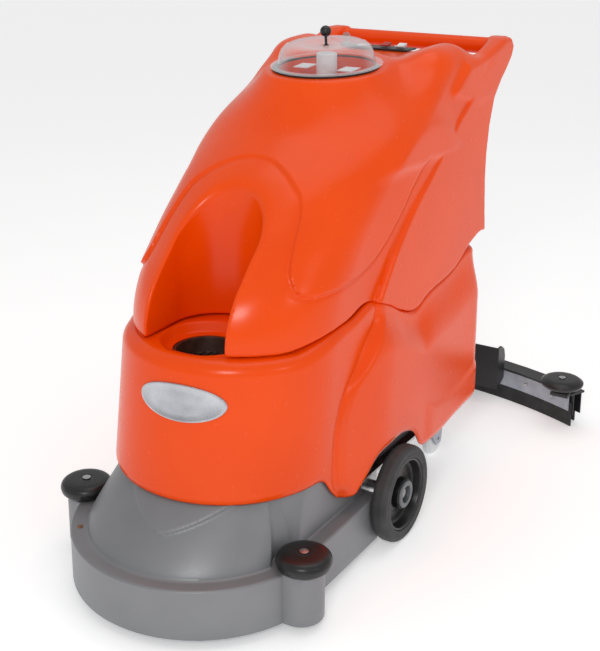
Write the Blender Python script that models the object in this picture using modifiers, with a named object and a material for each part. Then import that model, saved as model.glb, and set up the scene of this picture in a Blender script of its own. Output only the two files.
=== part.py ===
"""Walk-behind scrubber-dryer with a disc brush deck and a curved rear squeegee.

Metres, +Z up. The machine faces -Y, the operator stands at +Y, +X is the machine's left
as seen from its front. The origin is on the floor, under the middle of the bounding box.
"""
import math

import bmesh
import bpy
from mathutils import Matrix, Vector

# ---------------------------------------------------------------- driving dimensions
DECK_Y = -0.435            # centre of the brush deck
DECK_R = 0.255             # outer radius of the deck's skirt
SKIRT_LOW = 0.018          # ground clearance of the skirt
LEDGE_Z = 0.116            # top of the skirt
DECK_TOP = 0.235           # top of the raised deck body, inside the lower tank
SIDE_PLATE_X = 0.247       # flat sides of the deck, behind the bumper ears
SIDE_PLATE_END = 0.258     # how far behind the deck centre they reach
EAR_X, EAR_BACK, EAR_R = 0.250, -0.048, 0.043
BODY_R, BODY_SIDE_X = 0.223, 0.212        # foot of the raised body: front radius, flat sides

WHEEL_R = 0.100
WHEEL_BACK = 0.310         # axle, behind the deck centre
TYRE_IN, TYRE_OUT = 0.2500, 0.2850
AXLE_R = 0.010

ROLLER_R, FRONT_ROLLER_HALF, REAR_ROLLER_HALF = 0.052, 0.015, 0.011
FRONT_ROLLER = (0.256, -0.048, 0.132)     # x, behind the deck centre, z
REAR_ROLLER = (0.373, 0.986, 0.118)

SKIRT_EDGE_Z = 0.220       # lower edge of the tank's front
LOWER_REAR = 0.770
PARTING_FRONT = 0.483      # where the two tanks meet at the front
PARTING_GAP = 0.003
TANK_WALL = 0.005
UPPER_REAR = 0.745         # rear wall of the recovery tank, between the handle fins

FRAME_LOW, FRAME_TOP = 0.1166, 0.1226
DOME_BACK, DOME_Z, DOME_TILT = 0.457, 0.932, math.radians(4.5)
DOME_R = 0.117

ARC_BACK = 0.150           # centre of the squeegee's arc, behind the deck centre
ARC_FRONT, ARC_REAR = 0.930, 0.975
SQUEEGEE_TOP = 0.088
CASTER_X, CASTER_BACK, CASTER_TRAIL, CASTER_R = 0.165, 0.655, 0.030, 0.040

GAP = 0.0003               # between faces that touch on the real machine
OVER = 0.01                # how far a cutter runs past what it cuts
WELD = 0.002               # how far a joined piece runs into its neighbour

COLOURS = {
    "orange": ((0.85, 0.10, 0.008), 0.30, 0.0),
    "cast_grey": ((0.22, 0.225, 0.235), 0.42, 0.75),
    "steel": ((0.50, 0.50, 0.50), 0.35, 1.0),
    "zinc": ((0.60, 0.60, 0.58), 0.45, 0.9),
    "black": ((0.012, 0.012, 0.012), 0.35, 0.0),
    "black_gloss": ((0.010, 0.010, 0.010), 0.18, 0.0),
    "rubber": ((0.025, 0.025, 0.027), 0.75, 0.0),
    "natural": ((0.70, 0.70, 0.66), 0.50, 0.0),
    "clear": ((0.90, 0.92, 0.93), 0.08, 0.0),
    "silver": ((0.62, 0.62, 0.62), 0.28, 0.9),
    "white": ((0.80, 0.80, 0.80), 0.40, 0.0),
    "red": ((0.45, 0.02, 0.02), 0.35, 0.0),
    "bristle": ((0.05, 0.09, 0.16), 0.70, 0.0),
}


def clear_scene():
    for obj in list(bpy.data.objects):
        bpy.data.objects.remove(obj, do_unlink=True)


def new_collection(name):
    coll = bpy.data.collections.new(name)
    bpy.context.scene.collection.children.link(coll)
    return coll


def make_materials():
    out = {}
    for name, (colour, rough, metal) in COLOURS.items():
        mat = bpy.data.materials.new(name)
        mat.use_nodes = True
        shader = mat.node_tree.nodes["Principled BSDF"]
        shader.inputs["Base Color"].default_value = (*colour, 1.0)
        shader.inputs["Roughness"].default_value = rough
        shader.inputs["Metallic"].default_value = metal
        out[name] = mat
    return out


clear_scene()
PARTS = new_collection("scrubber_dryer")
CUTTERS = new_collection("cutters")
MATERIALS = make_materials()


# ---------------------------------------------------------------- helpers
def back(distance):
    """World Y of a station given as its distance behind the deck centre."""
    return DECK_Y + distance


def mix(a, b, t):
    return a + (b - a) * t


def smooth(t):
    t = min(1.0, max(0.0, t))
    return t * t * (3.0 - 2.0 * t)


def through(points, at):
    """Height of a smooth line through (at, value) points; level beyond its ends."""
    if at <= points[0][0]:
        return points[0][1]
    for i in range(len(points) - 1):
        (a, va), (b, vb) = points[i], points[i + 1]
        if at <= b:
            before = points[max(i - 1, 0)]
            after = points[min(i + 2, len(points) - 1)]
            slope_a = (vb - before[1]) / (b - before[0])
            slope_b = (after[1] - va) / (after[0] - a)
            t = (at - a) / (b - a)
            span = b - a
            return ((2 * t ** 3 - 3 * t ** 2 + 1) * va + (t ** 3 - 2 * t ** 2 + t) * span * slope_a
                    + (3 * t ** 2 - 2 * t ** 3) * vb + (t ** 3 - t ** 2) * span * slope_b)
    return points[-1][1]


def add(name, mesh, material, location=(0, 0, 0), rotation=(0, 0, 0), parent=None, sharp=35):
    obj = bpy.data.objects.new(name, mesh)
    PARTS.objects.link(obj)
    obj.location = location
    obj.rotation_euler = rotation
    obj.parent = parent
    if material and not mesh.materials:
        mesh.materials.append(MATERIALS[material])
    mesh.shade_smooth()
    mesh.set_sharp_from_angle(angle=math.radians(sharp))
    return obj


def empty(name, location, rotation=(0, 0, 0)):
    obj = bpy.data.objects.new(name, None)
    PARTS.objects.link(obj)
    obj.location = location
    obj.rotation_euler = rotation
    return obj


def mesh_from(bm, name):
    mesh = bpy.data.meshes.new(name)
    bm.to_mesh(mesh)
    bm.free()
    return mesh


def box_mesh(name, size, centre=(0, 0, 0)):
    bm = bmesh.new()
    bmesh.ops.create_cube(bm, size=1.0)
    bmesh.ops.scale(bm, vec=size, verts=bm.verts)
    bmesh.ops.translate(bm, vec=centre, verts=bm.verts)
    return mesh_from(bm, name)


def box(name, low, high, material, parent=None, bevel=0.0):
    """A box between two world corners; its origin is at its middle."""
    middle = [(a + b) / 2 for a, b in zip(low, high)]
    size = [b - a for a, b in zip(low, high)]
    obj = add(name, box_mesh(name, size), material, middle, parent=parent)
    if bevel:
        add_bevel(obj, bevel)
    return obj


def add_bevel(obj, width, segments=1):
    mod = obj.modifiers.new("rounded", "BEVEL")
    mod.width = width
    mod.segments = segments
    mod.limit_method = "ANGLE"
    mod.angle_limit = math.radians(40)
    return mod


def rod_mesh(name, radius, length, axis="Z", sides=24, centre=(0, 0, 0)):
    bm = bmesh.new()
    bmesh.ops.create_cone(bm, cap_ends=True, segments=sides, radius1=radius, radius2=radius,
                          depth=length)
    if axis == "X":
        bmesh.ops.rotate(bm, matrix=Matrix.Rotation(math.pi / 2, 3, "Y"), verts=bm.verts)
    if axis == "Y":
        bmesh.ops.rotate(bm, matrix=Matrix.Rotation(math.pi / 2, 3, "X"), verts=bm.verts)
    bmesh.ops.translate(bm, vec=centre, verts=bm.verts)
    return mesh_from(bm, name)


def rod(name, radius, start, end, material, parent=None, sides=24):
    """A round bar between two points on a line along X, Y or Z."""
    delta = Vector(end) - Vector(start)
    axis = "XYZ"[max(range(3), key=lambda i: abs(delta[i]))]
    middle = (Vector(start) + Vector(end)) / 2
    return add(name, rod_mesh(name, radius, delta.length, axis, sides), material, middle,
               parent=parent)


def turned(name, profile, material, location=(0, 0, 0), rotation=(0, 0, 0), parent=None,
           steps=32, closed=False):
    """A profile of (radius, height) points at +X, turned about Z.

    It runs from the top down its outer side. An open one starts and ends on the axis,
    a closed one goes round a ring's section.
    """
    mesh = bpy.data.meshes.new(name)
    count = len(profile)
    edges = [(i, i + 1) for i in range(count - 1)]
    if closed:
        edges.append((count - 1, 0))
    mesh.from_pydata([(r, 0.0, z) for r, z in profile], edges, [])
    obj = add(name, mesh, material, location, rotation, parent)
    mod = obj.modifiers.new("turned", "SCREW")
    mod.steps = steps
    mod.render_steps = steps
    mod.use_merge_vertices = True
    mod.merge_threshold = 0.00005
    mod.use_normal_calculate = False
    return obj


def plate(name, outline, thickness, material, location=(0, 0, 0), rotation=(0, 0, 0), parent=None):
    """A flat outline of (x, y) points with a thickness about its own plane."""
    bm = bmesh.new()
    face = bm.faces.new([bm.verts.new((x, y, -thickness / 2)) for x, y in outline])
    face.normal_update()
    if face.normal.z > 0:
        face.normal_flip()
    grown = bmesh.ops.extrude_face_region(bm, geom=[face])
    moved = [v for v in grown["geom"] if isinstance(v, bmesh.types.BMVert)]
    bmesh.ops.translate(bm, vec=(0, 0, thickness), verts=moved)
    bmesh.ops.recalc_face_normals(bm, faces=bm.faces)
    return add(name, mesh_from(bm, name), material, location, rotation, parent)


def boolean(obj, operation, tool):
    mod = obj.modifiers.new(operation.lower(), "BOOLEAN")
    mod.operation = operation
    mod.solver = "EXACT"
    mod.object = tool
    tool.hide_render = True
    tool.display_type = "WIRE"
    PARTS.objects.unlink(tool)
    CUTTERS.objects.link(tool)
    return mod


def cut(obj, tool):
    return boolean(obj, "DIFFERENCE", tool)


def join(obj, tool):
    return boolean(obj, "UNION", tool)


def loft(rings, closed=True):
    """A grid surface through rings of equally many points, low to high."""
    bm = bmesh.new()
    rows = [[bm.verts.new(p) for p in ring] for ring in rings]
    count = len(rings[0])
    last = count if closed else count - 1
    for lower, upper in zip(rows, rows[1:]):
        for i in range(last):
            j = (i + 1) % count
            bm.faces.new((lower[i], lower[j], upper[j], upper[i]))
    return bm, rows


def solidify(obj, thickness):
    mod = obj.modifiers.new("wall", "SOLIDIFY")
    mod.thickness = thickness
    mod.offset = -1.0
    return mod


def both_sides(half):
    """A closed ring from its +X half, which runs from the front to the rear centre."""
    return half + [(-x, y, z) for x, y, z in reversed(half[1:-1])]


# ---------------------------------------------------------------- brush deck
DECK_COLUMNS = 44


def skirt_radius(angle):
    """Distance from the deck centre to the skirt; angle 0 faces the front."""
    side, rear = abs(math.sin(angle)), -math.cos(angle)
    radius = DECK_R
    if rear > 0:
        radius = min(SIDE_PLATE_X / max(side, 1e-6), SIDE_PLATE_END / rear)
    ear_along = side * EAR_X + rear * EAR_BACK
    ear_across = EAR_X * rear - EAR_BACK * side
    if abs(ear_across) < EAR_R and ear_along > 0:
        radius = max(radius, ear_along + math.sqrt(EAR_R ** 2 - ear_across ** 2))
    return radius


def body_radius(angle):
    """Distance from the deck centre to the foot of the raised body, scooped out at the bumpers."""
    side, rear = abs(math.sin(angle)), -math.cos(angle)
    radius = BODY_R
    if rear > -0.05:
        radius = min(BODY_SIDE_X / side, 0.245 / max(rear, 1e-6))
    return min(radius, clear_of_roller(side, rear))


def clear_of_roller(side, rear):
    along = side * FRONT_ROLLER[0] + rear * FRONT_ROLLER[1]
    across = FRONT_ROLLER[0] * rear - FRONT_ROLLER[1] * side
    reach = ROLLER_R + 0.003
    if abs(across) >= reach:
        return DECK_R
    return along - math.sqrt(reach ** 2 - across ** 2)


def crown_radius(angle, radius):
    """Distance from the deck centre to the body's top, which is round about the tank's front."""
    side, rear = abs(math.sin(angle)), -math.cos(angle)
    toward = rear * LOWER_FRONT_BACK
    reach = toward + math.sqrt(toward ** 2 - LOWER_FRONT_BACK ** 2 + radius ** 2)
    return min(reach, radius / max(side, 1e-6), 0.235 / max(rear, 1e-6))


def deck_ring(radius_at, z):
    ring = []
    for i in range(DECK_COLUMNS):
        angle = 2 * math.pi * i / DECK_COLUMNS
        radius = radius_at(angle)
        ring.append((radius * math.sin(angle), DECK_Y - radius * math.cos(angle), z))
    return ring


def brush_deck():
    rings = [
        deck_ring(skirt_radius, SKIRT_LOW),
        deck_ring(skirt_radius, LEDGE_Z - 0.004),
        deck_ring(lambda a: skirt_radius(a) - 0.004, LEDGE_Z),
        deck_ring(body_radius, LEDGE_Z),
        deck_ring(body_radius, 0.146),
        deck_ring(lambda a: crown_radius(a, 0.2105), SKIRT_EDGE_Z - 0.002),
        deck_ring(lambda a: crown_radius(a, 0.1980), DECK_TOP),
        deck_ring(lambda a: 0.030, DECK_TOP),
    ]
    bm, rows = loft(rings)
    obj = add("brush_deck", mesh_from(bm, "brush_deck"), "cast_grey")
    solidify(obj, 0.004)


def brush_drive():
    at = (0, DECK_Y, 0)
    turned("brush_motor", [(0, 0.228), (0.070, 0.228), (0.074, 0.224), (0.074, 0.140),
                           (0.055, 0.136), (0.055, 0.106), (0.048, 0.100), (0, 0.100)],
           "black", at, steps=20)
    pivot = empty("brush_axis", at)
    turned("brush_plate", [(0, 0.0997), (0.010, 0.0997), (0.010, 0.0720), (0.045, 0.0717),
                           (0.050, 0.064), (0.224, 0.058), (0.228, 0.054), (0.228, 0.046), (0, 0.046)],
           "black", parent=pivot, steps=28)
    turned("bristle_ring", [(0.075, 0.0457), (0.222, 0.0457), (0.230, 0.0003), (0.070, 0.0003)],
           "bristle", parent=pivot, steps=32, closed=True)


# ---------------------------------------------------------------- lower tank
FRONT_COLUMNS, SIDE_COLUMNS, REAR_COLUMNS = 12, 8, 3
LOWER_FRONT_BACK, LOWER_FRONT_R = 0.095, 0.2215
REAR_CORNER_R = 0.050
SWELL = 0.034

# lower edge and parting line along the flanks: distance behind the deck centre, height
LOWER_EDGE = [(0.060, 0.220), (0.105, 0.212), (0.140, 0.176), (0.175, 0.150), (0.200, 0.150),
              (0.225, 0.172), (0.255, 0.202), (0.310, 0.214), (0.370, 0.212), (0.415, 0.190), (0.445, 0.152),
              (0.500, 0.142), (0.640, 0.147), (0.760, 0.152)]
PARTING_LINE = [(0.010, PARTING_FRONT), (0.060, 0.491), (0.110, 0.499), (0.180, 0.504),
                (0.250, 0.517), (0.320, 0.495), (0.370, 0.470), (0.440, 0.452), (0.480, 0.466),
                (0.610, 0.487), (0.700, 0.512), (0.770, 0.510)]
LOWER_LEVELS = (0.0, 0.35, 0.7, 0.93, 1.0)


def flank_swell(distance, level):
    """How far the flank stands out behind the front cylinder, and back in at the top."""
    along = smooth((distance - 0.10) / 0.20) * (1.0 - 0.35 * smooth((distance - 0.35) / 0.35))
    return SWELL * along * (1.0 - smooth((level - 0.70) / 0.30) * 0.75)


def front_centre(level):
    """The front wall leans back as it rises: where its circle has its centre."""
    return LOWER_FRONT_BACK + mix(-0.008, 0.030, level)


def lower_half(level):
    half = []
    centre = front_centre(level)
    for i in range(FRONT_COLUMNS + 1):
        turn = math.pi / 2 * i / FRONT_COLUMNS
        x = LOWER_FRONT_R * math.sin(turn)
        distance = centre - LOWER_FRONT_R * math.cos(turn)
        half.append((x, distance))
    straight_end = LOWER_REAR - REAR_CORNER_R
    for i in range(1, SIDE_COLUMNS + 1):
        distance = mix(centre, straight_end, i / SIDE_COLUMNS)
        half.append((LOWER_FRONT_R + flank_swell(distance, level), distance))
    side_x = half[-1][0]
    for turn in (30, 60, 90):
        corner_x = side_x - REAR_CORNER_R * (1 - math.cos(math.radians(turn)))
        half.append((corner_x, straight_end + REAR_CORNER_R * math.sin(math.radians(turn))))
    corner_x = half[-1][0]
    for i in range(1, REAR_COLUMNS + 1):
        half.append((corner_x * (1 - i / REAR_COLUMNS), LOWER_REAR))
    points = []
    for x, distance in half:
        low, high = lower_edge(x, distance), parting(x, distance) - PARTING_GAP
        points.append((x, back(distance), mix(low, high, level)))
    return points


def lower_edge(x, distance):
    if distance > LOWER_REAR - 0.001 and x < 0.195:
        return 0.190
    return through(LOWER_EDGE, distance)


def parting(x, distance):
    if distance > LOWER_REAR - 0.001 and x < 0.150:
        return 0.485
    return through(PARTING_LINE, distance)


SHELF_TOP = 0.4786
FILLER_BACK = 0.020        # the filler sits a little behind the deck's centre
FUNNEL = [(0.086, SHELF_TOP), (0.074, 0.4610), (0.064, 0.4585)]
SHELF_REAR = 10           # columns of the shelf's straight rear edge


def lower_tank():
    rings = [both_sides(lower_half(level)) for level in LOWER_LEVELS]
    bm, rows = loft(rings)
    rim = rows[-1]
    count = len(rim)
    reach = FRONT_COLUMNS
    front = [rim[i % count] for i in range(count - reach, count + reach + 1)]
    right, left = front[-1].co, front[0].co
    rear = [bm.verts.new((mix(right.x, left.x, i / SHELF_REAR), right.y, SHELF_TOP - 0.0005))
            for i in range(1, SHELF_REAR)]
    outer = front + rear
    centre = Vector((0, back(FILLER_BACK), 0))
    inner_rows = []
    for share, (radius, z) in [(0.55, (0.0, SHELF_TOP))] + [(1.0, f) for f in FUNNEL]:
        row = []
        for vert in outer:
            flat = Vector((vert.co.x, vert.co.y, 0)) - centre
            hole = FUNNEL[0][0] if radius == 0.0 else radius
            distance = mix(flat.length, hole, share)
            spot = centre + flat.normalized() * distance
            row.append(bm.verts.new((spot.x, spot.y, z)))
        inner_rows.append(row)
    below = outer
    for row in inner_rows:
        for i in range(len(outer)):
            j = (i + 1) % len(outer)
            bm.faces.new((below[i], below[j], row[j], row[i]))
        below = row
    obj = add("lower_tank", mesh_from(bm, "lower_tank"), "orange")
    solidify(obj, TANK_WALL)


def solution_tank():
    """The clean-water tub inside the front of the lower moulding, open at the top."""
    outer, wall = 0.180, 0.004
    profile = [(0, 0.250), (outer - wall, 0.254), (outer - wall, 0.455), (outer, 0.455),
               (outer, 0.250), (0, 0.246)]
    turned("solution_tank", profile, "natural", (0, back(0.095), 0), steps=28)


def filler_strainer():
    low = FUNNEL[1][1] + GAP
    profile = [(0, 0.427), (0.055, 0.427), (0.0575, low + 0.002), (0.071, low + 0.002),
               (0.071, low), (0.061, low), (0.058, 0.425), (0, 0.425)]
    turned("filler_strainer", profile, "black", (0, back(FILLER_BACK), 0), steps=22)


def badge():
    """A blank oval plate that follows the curve of the tank's front."""
    middle_z, half_high, half_arc, azimuth = 0.403, 0.034, 0.090, math.radians(7.5)
    radius = LOWER_FRONT_R + 0.0016
    bm = bmesh.new()
    rings = []
    for share in (1.0, 0.92):
        ring = []
        for i in range(24):
            turn = 2 * math.pi * i / 24
            around = azimuth + share * half_arc * math.cos(turn) / radius
            height = middle_z + share * half_high * math.sin(turn)
            stand = 0.0 if share == 1.0 else 0.0012
            foot, top = lower_edge(0, 0), PARTING_FRONT - PARTING_GAP
            centre = back(front_centre((height - foot) / (top - foot)))
            ring.append(((radius + stand) * math.sin(around),
                         centre - (radius + stand) * math.cos(around), height))
        rings.append([bm.verts.new(p) for p in ring])
    for i in range(24):
        j = (i + 1) % 24
        bm.faces.new((rings[0][i], rings[0][j], rings[1][j], rings[1][i]))
    for ring, flip in ((rings[1], False), (rings[0], True)):
        fill = list(reversed(ring)) if flip else ring
        top, bottom = fill[:13], fill[12:] + fill[:1]
        strips = list(zip(top, reversed(bottom)))
        for (a, b), (c, d) in zip(strips, strips[1:]):
            corners = [a, c, d, b]
            unique = [v for k, v in enumerate(corners) if v not in corners[:k]]
            if len(unique) > 2:
                bm.faces.new(unique)
    bmesh.ops.recalc_face_normals(bm, faces=bm.faces)
    add("badge", mesh_from(bm, "badge"), "silver")


# ---------------------------------------------------------------- recovery tank and handle
HOOD_FRONT = [(0.490, -0.077), (0.540, -0.067), (0.580, -0.045), (0.620, -0.009), (0.660, 0.029),
              (0.740, 0.117), (0.820, 0.228), (0.880, 0.298), (0.930, 0.345)]
HOOD_WIDTH = [(0.490, 0.2185), (0.700, 0.2220), (0.860, 0.2180), (0.930, 0.2000)]
HOOD_DEPTH = [(0.490, 0.218), (0.820, 0.208), (0.880, 0.185), (0.930, 0.150)]
HOOD_LEVELS = (0.0, 0.1, 0.2, 0.3, 0.4, 0.48, 0.54, 0.6, 0.66, 0.76, 0.88, 1.0)
RIM_FRONT, RIM_SIDE, RIM_REAR = 0.905, 0.945, 0.915
SCOOP_R, SCOOP_BACK = 0.088, 0.050
SCOOP_COLUMNS = 5          # of the front columns, those inside the scoop
FLOOR_Z = 0.504            # middle of the recovery tank's floor
FIN_IN, FIN_OUT = 0.196, 0.236
BAR_R = 0.0185
BAR_BACK, BAR_Z = 0.880, 0.943


def hood_half(level):
    half = []
    for share in [i / FRONT_COLUMNS for i in range(FRONT_COLUMNS + 1)]:
        half.append(hood_point(level, "front", share))
    for i in range(1, SIDE_COLUMNS + 1):
        half.append(hood_point(level, "side", i / SIDE_COLUMNS))
    for i in range(1, REAR_COLUMNS + 1):
        half.append(hood_point(level, "rear", i / REAR_COLUMNS))
    return half


def hood_plan(zone, share, z):
    """Plan position on the tank's outline at a height: half width and distance back."""
    front, width, depth = through(HOOD_FRONT, z), through(HOOD_WIDTH, z), through(HOOD_DEPTH, z)
    if zone == "front":
        column, edge = round(share * FRONT_COLUMNS), math.asin(SCOOP_R / width)
        inside = column <= SCOOP_COLUMNS
        turn = mix(edge, math.pi / 2, (column - SCOOP_COLUMNS - 1) / (FRONT_COLUMNS - SCOOP_COLUMNS - 1))
        if inside:
            turn = math.asin((SCOOP_R - 0.001) * column / SCOOP_COLUMNS / width)
        x, distance = width * math.sin(turn), front + depth * (1 - math.cos(turn))
        if inside:
            distance = max(distance, SCOOP_BACK + math.sqrt(SCOOP_R ** 2 - x ** 2))
        return x, distance
    if zone == "side":
        return width, mix(front + depth, UPPER_REAR, share)
    return width * (1 - share), UPPER_REAR


def hood_point(level, zone, share):
    rim = {"front": mix(RIM_FRONT, RIM_SIDE, smooth(share)),
           "side": mix(RIM_SIDE, RIM_REAR, smooth((share - 0.4) / 0.6)),
           "rear": RIM_REAR}[zone]
    x, distance = hood_plan(zone, share, 0.50)
    low = 0.515 if zone == "rear" and x < 0.16 else through(PARTING_LINE, distance)
    low = max(low, PARTING_FRONT) if distance < 0.20 else low
    z = mix(low, rim, level)
    x, distance = hood_plan(zone, share, z)
    return (x, back(distance), z)


def seat_height(y, lift=0.0):
    return DOME_Z + lift + (y - back(DOME_BACK)) * math.tan(DOME_TILT)


def circle_matched(ring, radius, lift=0.0):
    """A circle about the dome whose points face those of a ring."""
    out = []
    centre = Vector((0, back(DOME_BACK)))
    for x, y, z in ring:
        aim = (Vector((x, y)) - centre).normalized() * radius + centre
        out.append((aim.x, aim.y, seat_height(aim.y, lift)))
    return out


def shoulder_ring(rim, share, rise):
    """A ring between the rim and the dome's seat."""
    seat = circle_matched(rim, 0.128)
    out = []
    for a, b in zip(rim, seat):
        x, y = mix(a[0], b[0], share), mix(a[1], b[1], share)
        out.append((x, y, mix(a[2], b[2], share ** 0.6) + rise))
    return out


def upper_tank():
    walls = [both_sides(hood_half(level)) for level in HOOD_LEVELS]
    rim = walls[-1]
    floor_mid = [(x * 0.5, back(0.36) + (y - back(0.36)) * 0.5, FLOOR_Z) for x, y, z in walls[0]]
    cap = [shoulder_ring(rim, 0.18, 0.012), shoulder_ring(rim, 0.5, 0.008),
           circle_matched(rim, 0.128), circle_matched(rim, 0.101)]
    bm, rows = loft([floor_mid] + walls + cap)
    middle = bm.verts.new((0, back(0.36), FLOOR_Z))
    low = rows[0]
    for i in range(len(low)):
        bm.faces.new((low[(i + 1) % len(low)], low[i], middle))
    obj = add("upper_tank", mesh_from(bm, "upper_tank"), "orange")
    solidify(obj, TANK_WALL)
    for side in (1, -1):
        join(obj, handle_fin(side))
    join(obj, handle_bar())


def handle_fin(side):
    """The flat fin behind each flank, which runs up into the handle."""
    outline = [(0.690, 0.545), (0.794, 0.534), (0.781, 0.590), (0.775, 0.660), (0.776, 0.720),
               (0.786, 0.780), (0.806, 0.835), (0.835, 0.876), (0.870, 0.905), (0.892, 0.925),
               (0.899, 0.945), (0.892, 0.960), (0.870, 0.963), (0.800, 0.953), (0.740, 0.945),
               (0.650, 0.940), (0.600, 0.900)]
    spin = (math.pi / 2, 0, math.pi / 2)
    middle = side * (FIN_IN + FIN_OUT) / 2
    obj = plate("fin_tool", outline, FIN_OUT - FIN_IN, None, (middle, DECK_Y, 0), spin)
    add_bevel(obj, 0.008)
    return obj


def handle_bar():
    length = 2 * (FIN_IN + 0.012)
    return rod("bar_tool", BAR_R, (-length / 2, back(BAR_BACK), BAR_Z),
               (length / 2, back(BAR_BACK), BAR_Z), None, sides=16)


def tank_fittings():
    y = back(UPPER_REAR) + GAP
    for name, x, z, radius in (("suction_inlet", 0.085, 0.800, 0.024), ("drain_outlet", -0.085, 0.585, 0.020)):
        bore = radius - 0.004
        profile = [(bore, 0.045), (radius, 0.045), (radius, 0.004), (radius + 0.010, 0.004),
                   (radius + 0.010, 0), (bore, 0)]
        turned(name, profile, "black", (x, y, z), (-math.pi / 2, 0, 0), steps=16, closed=True)


# ---------------------------------------------------------------- dome lid and float
def dome():
    seat = empty("dome_seat", (0, back(DOME_BACK), DOME_Z), (DOME_TILT, 0, 0))
    turned("dome_gasket", [(0.100, 0.0043), (0.114, 0.0043), (0.114, 0.0006), (0.100, 0.0006)],
           "rubber", parent=seat, steps=28, closed=True)
    outer = [(0.0, 0.053), (0.045, 0.0515), (0.080, 0.044), (0.098, 0.027), (0.1025, 0.0085)]
    flange = [(DOME_R, 0.0078), (DOME_R, 0.0048), (0.0990, 0.0048)]
    inner = [(0.0950, 0.026), (0.0780, 0.0415), (0.0440, 0.0488), (0.0, 0.050)]
    lid = turned("dome_lid", outer + flange + inner, "clear", parent=seat, steps=28)
    cut(lid, rod("stud_hole", 0.0032, (0, 0, 0.030), (0, 0, 0.070), None, parent=seat, sides=16))
    bm = bmesh.new()
    bmesh.ops.create_uvsphere(bm, u_segments=14, v_segments=9, radius=0.0115)
    knob = add("lid_knob", mesh_from(bm, "lid_knob"), "black_gloss", (0, 0, 0.0743), parent=seat)
    join(knob, rod("stud_tool", 0.0027, (0, 0, 0.0445), (0, 0, 0.0700), None, parent=seat, sides=12))


def float_valve():
    at = (0, back(DOME_BACK), 0)
    turned("standpipe", [(0.0165, 0.912), (0.0195, 0.912), (0.0195, 0.515), (0.0165, 0.515)],
           "natural", at, steps=16, closed=True)
    cage = turned("float_cage", [(0, 0.962), (0.019, 0.962), (0.0215, 0.959), (0.0215, 0.9123),
                                 (0.0170, 0.9123), (0.0170, 0.959), (0, 0.959)], "white", at, steps=16)
    window = box("cage_window", (-0.030, at[1] - 0.008, 0.918), (0.030, at[1] + 0.008, 0.936), None)
    cut(cage, window)
    turned("float", [(0, 0.935), (0.013, 0.935), (0.0150, 0.932), (0.0150, 0.918), (0.012, 0.915),
                     (0, 0.915)], "natural", at, steps=14)


# ---------------------------------------------------------------- controls
PANEL_Z = 0.9475
PANEL_BACK = 0.700


def controls():
    """A small panel behind the dome, at the operator's hands."""
    y = back(PANEL_BACK)
    panel = box("control_panel", (-0.120, y - 0.022, PANEL_Z - 0.004), (0.075, y + 0.026, PANEL_Z),
                "black", bevel=0.0015)
    tops = PANEL_Z + GAP
    turned("key_barrel", [(0, 0.006), (0.010, 0.006), (0.011, 0.005), (0.011, 0), (0, 0)], "steel",
           (-0.090, y, tops), steps=20)
    key_axis = empty("key_axis", (-0.090, y, tops + 0.006 + GAP))
    key = plate("key", [(-0.009, 0.006), (-0.004, 0.004), (-0.004, 0.0), (0.004, 0.0),
                        (0.004, 0.004), (0.009, 0.006), (0.010, 0.014), (0.005, 0.020),
                        (-0.005, 0.020), (-0.010, 0.014)], 0.0025, "steel", (0, 0, 0),
                (math.pi / 2, 0, 0), parent=key_axis)
    turned("charge_gauge", [(0, 0.003), (0.014, 0.003), (0.016, 0.002), (0.016, 0), (0, 0)],
           "white", (-0.045, y, tops), steps=18)
    for name, x, material in (("brush_switch", 0.010, "red"), ("vacuum_switch", 0.048, "white")):
        pivot = empty(name + "_axis", (x, y, tops + 0.0050))
        outline = [(-0.0125, 0.0015), (-0.0125, -0.0010), (0.0, -0.0040), (0.0125, -0.0010),
                   (0.0125, 0.0050), (0.0, 0.0010)]
        plate(name, outline, 0.018, material, (0, 0, 0), (math.pi / 2, 0, math.pi / 2), parent=pivot)


# ---------------------------------------------------------------- chassis, batteries, motor
def chassis():
    low, high = FRAME_LOW, FRAME_TOP
    frame = box("chassis_frame", (-0.200, back(0.263), low), (0.200, back(0.738), high), "steel")
    for side in (1, -1):
        xs = sorted((side * 0.188, side * 0.196))
        join(frame, box("axle_bracket_tool", (xs[0], back(0.275), 0.082), (xs[1], back(0.345), low + WELD), None))
        x, y = side * CASTER_X, back(CASTER_BACK)
        join(frame, box("caster_plate_tool", (x - 0.034, y - 0.038, 0.1123),
                        (x + 0.034, y + 0.038, low + WELD), None))
    join(frame, box("lift_bracket_tool", (-0.060, back(LIFT_BACK - 0.012), LIFT_Z - 0.010),
                    (0.060, back(LIFT_BACK + 0.012), low + WELD), None))
    for start, top in ((0.722, high - WELD / 2), (0.744, 0.1360)):
        join(frame, box("pedal_bracket_tool", (0.0143, back(start), low + WELD / 2),
                        (0.0203, back(0.790), top), None))
    for radius, centre, z in ((AXLE_R + GAP, WHEEL_BACK, WHEEL_R), (0.0053, LIFT_BACK, LIFT_Z)):
        cut(frame, rod("frame_bore", radius, (-0.210, back(centre), z), (0.210, back(centre), z), None, sides=20))
    rod("axle", AXLE_R, (-0.276, back(WHEEL_BACK), WHEEL_R), (0.276, back(WHEEL_BACK), WHEEL_R), "steel")


def batteries():
    low = FRAME_TOP + GAP
    for side, label in ((1, "left"), (-1, "right")):
        xs = sorted((side * 0.006, side * 0.186))
        block = box("battery_" + label, (xs[0], back(0.285), low), (xs[1], back(0.605), 0.330), "black",
                    bevel=0.004)
        for along in (0.315, 0.575):
            post = rod("post_tool", 0.008, (side * 0.045, back(along), 0.320),
                       (side * 0.045, back(along), 0.344), None, sides=16)
            join(block, post)
    z = 0.344 + GAP
    box("battery_link", (-0.055, back(0.307), z), (0.055, back(0.323), z + 0.003), "steel")


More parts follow.
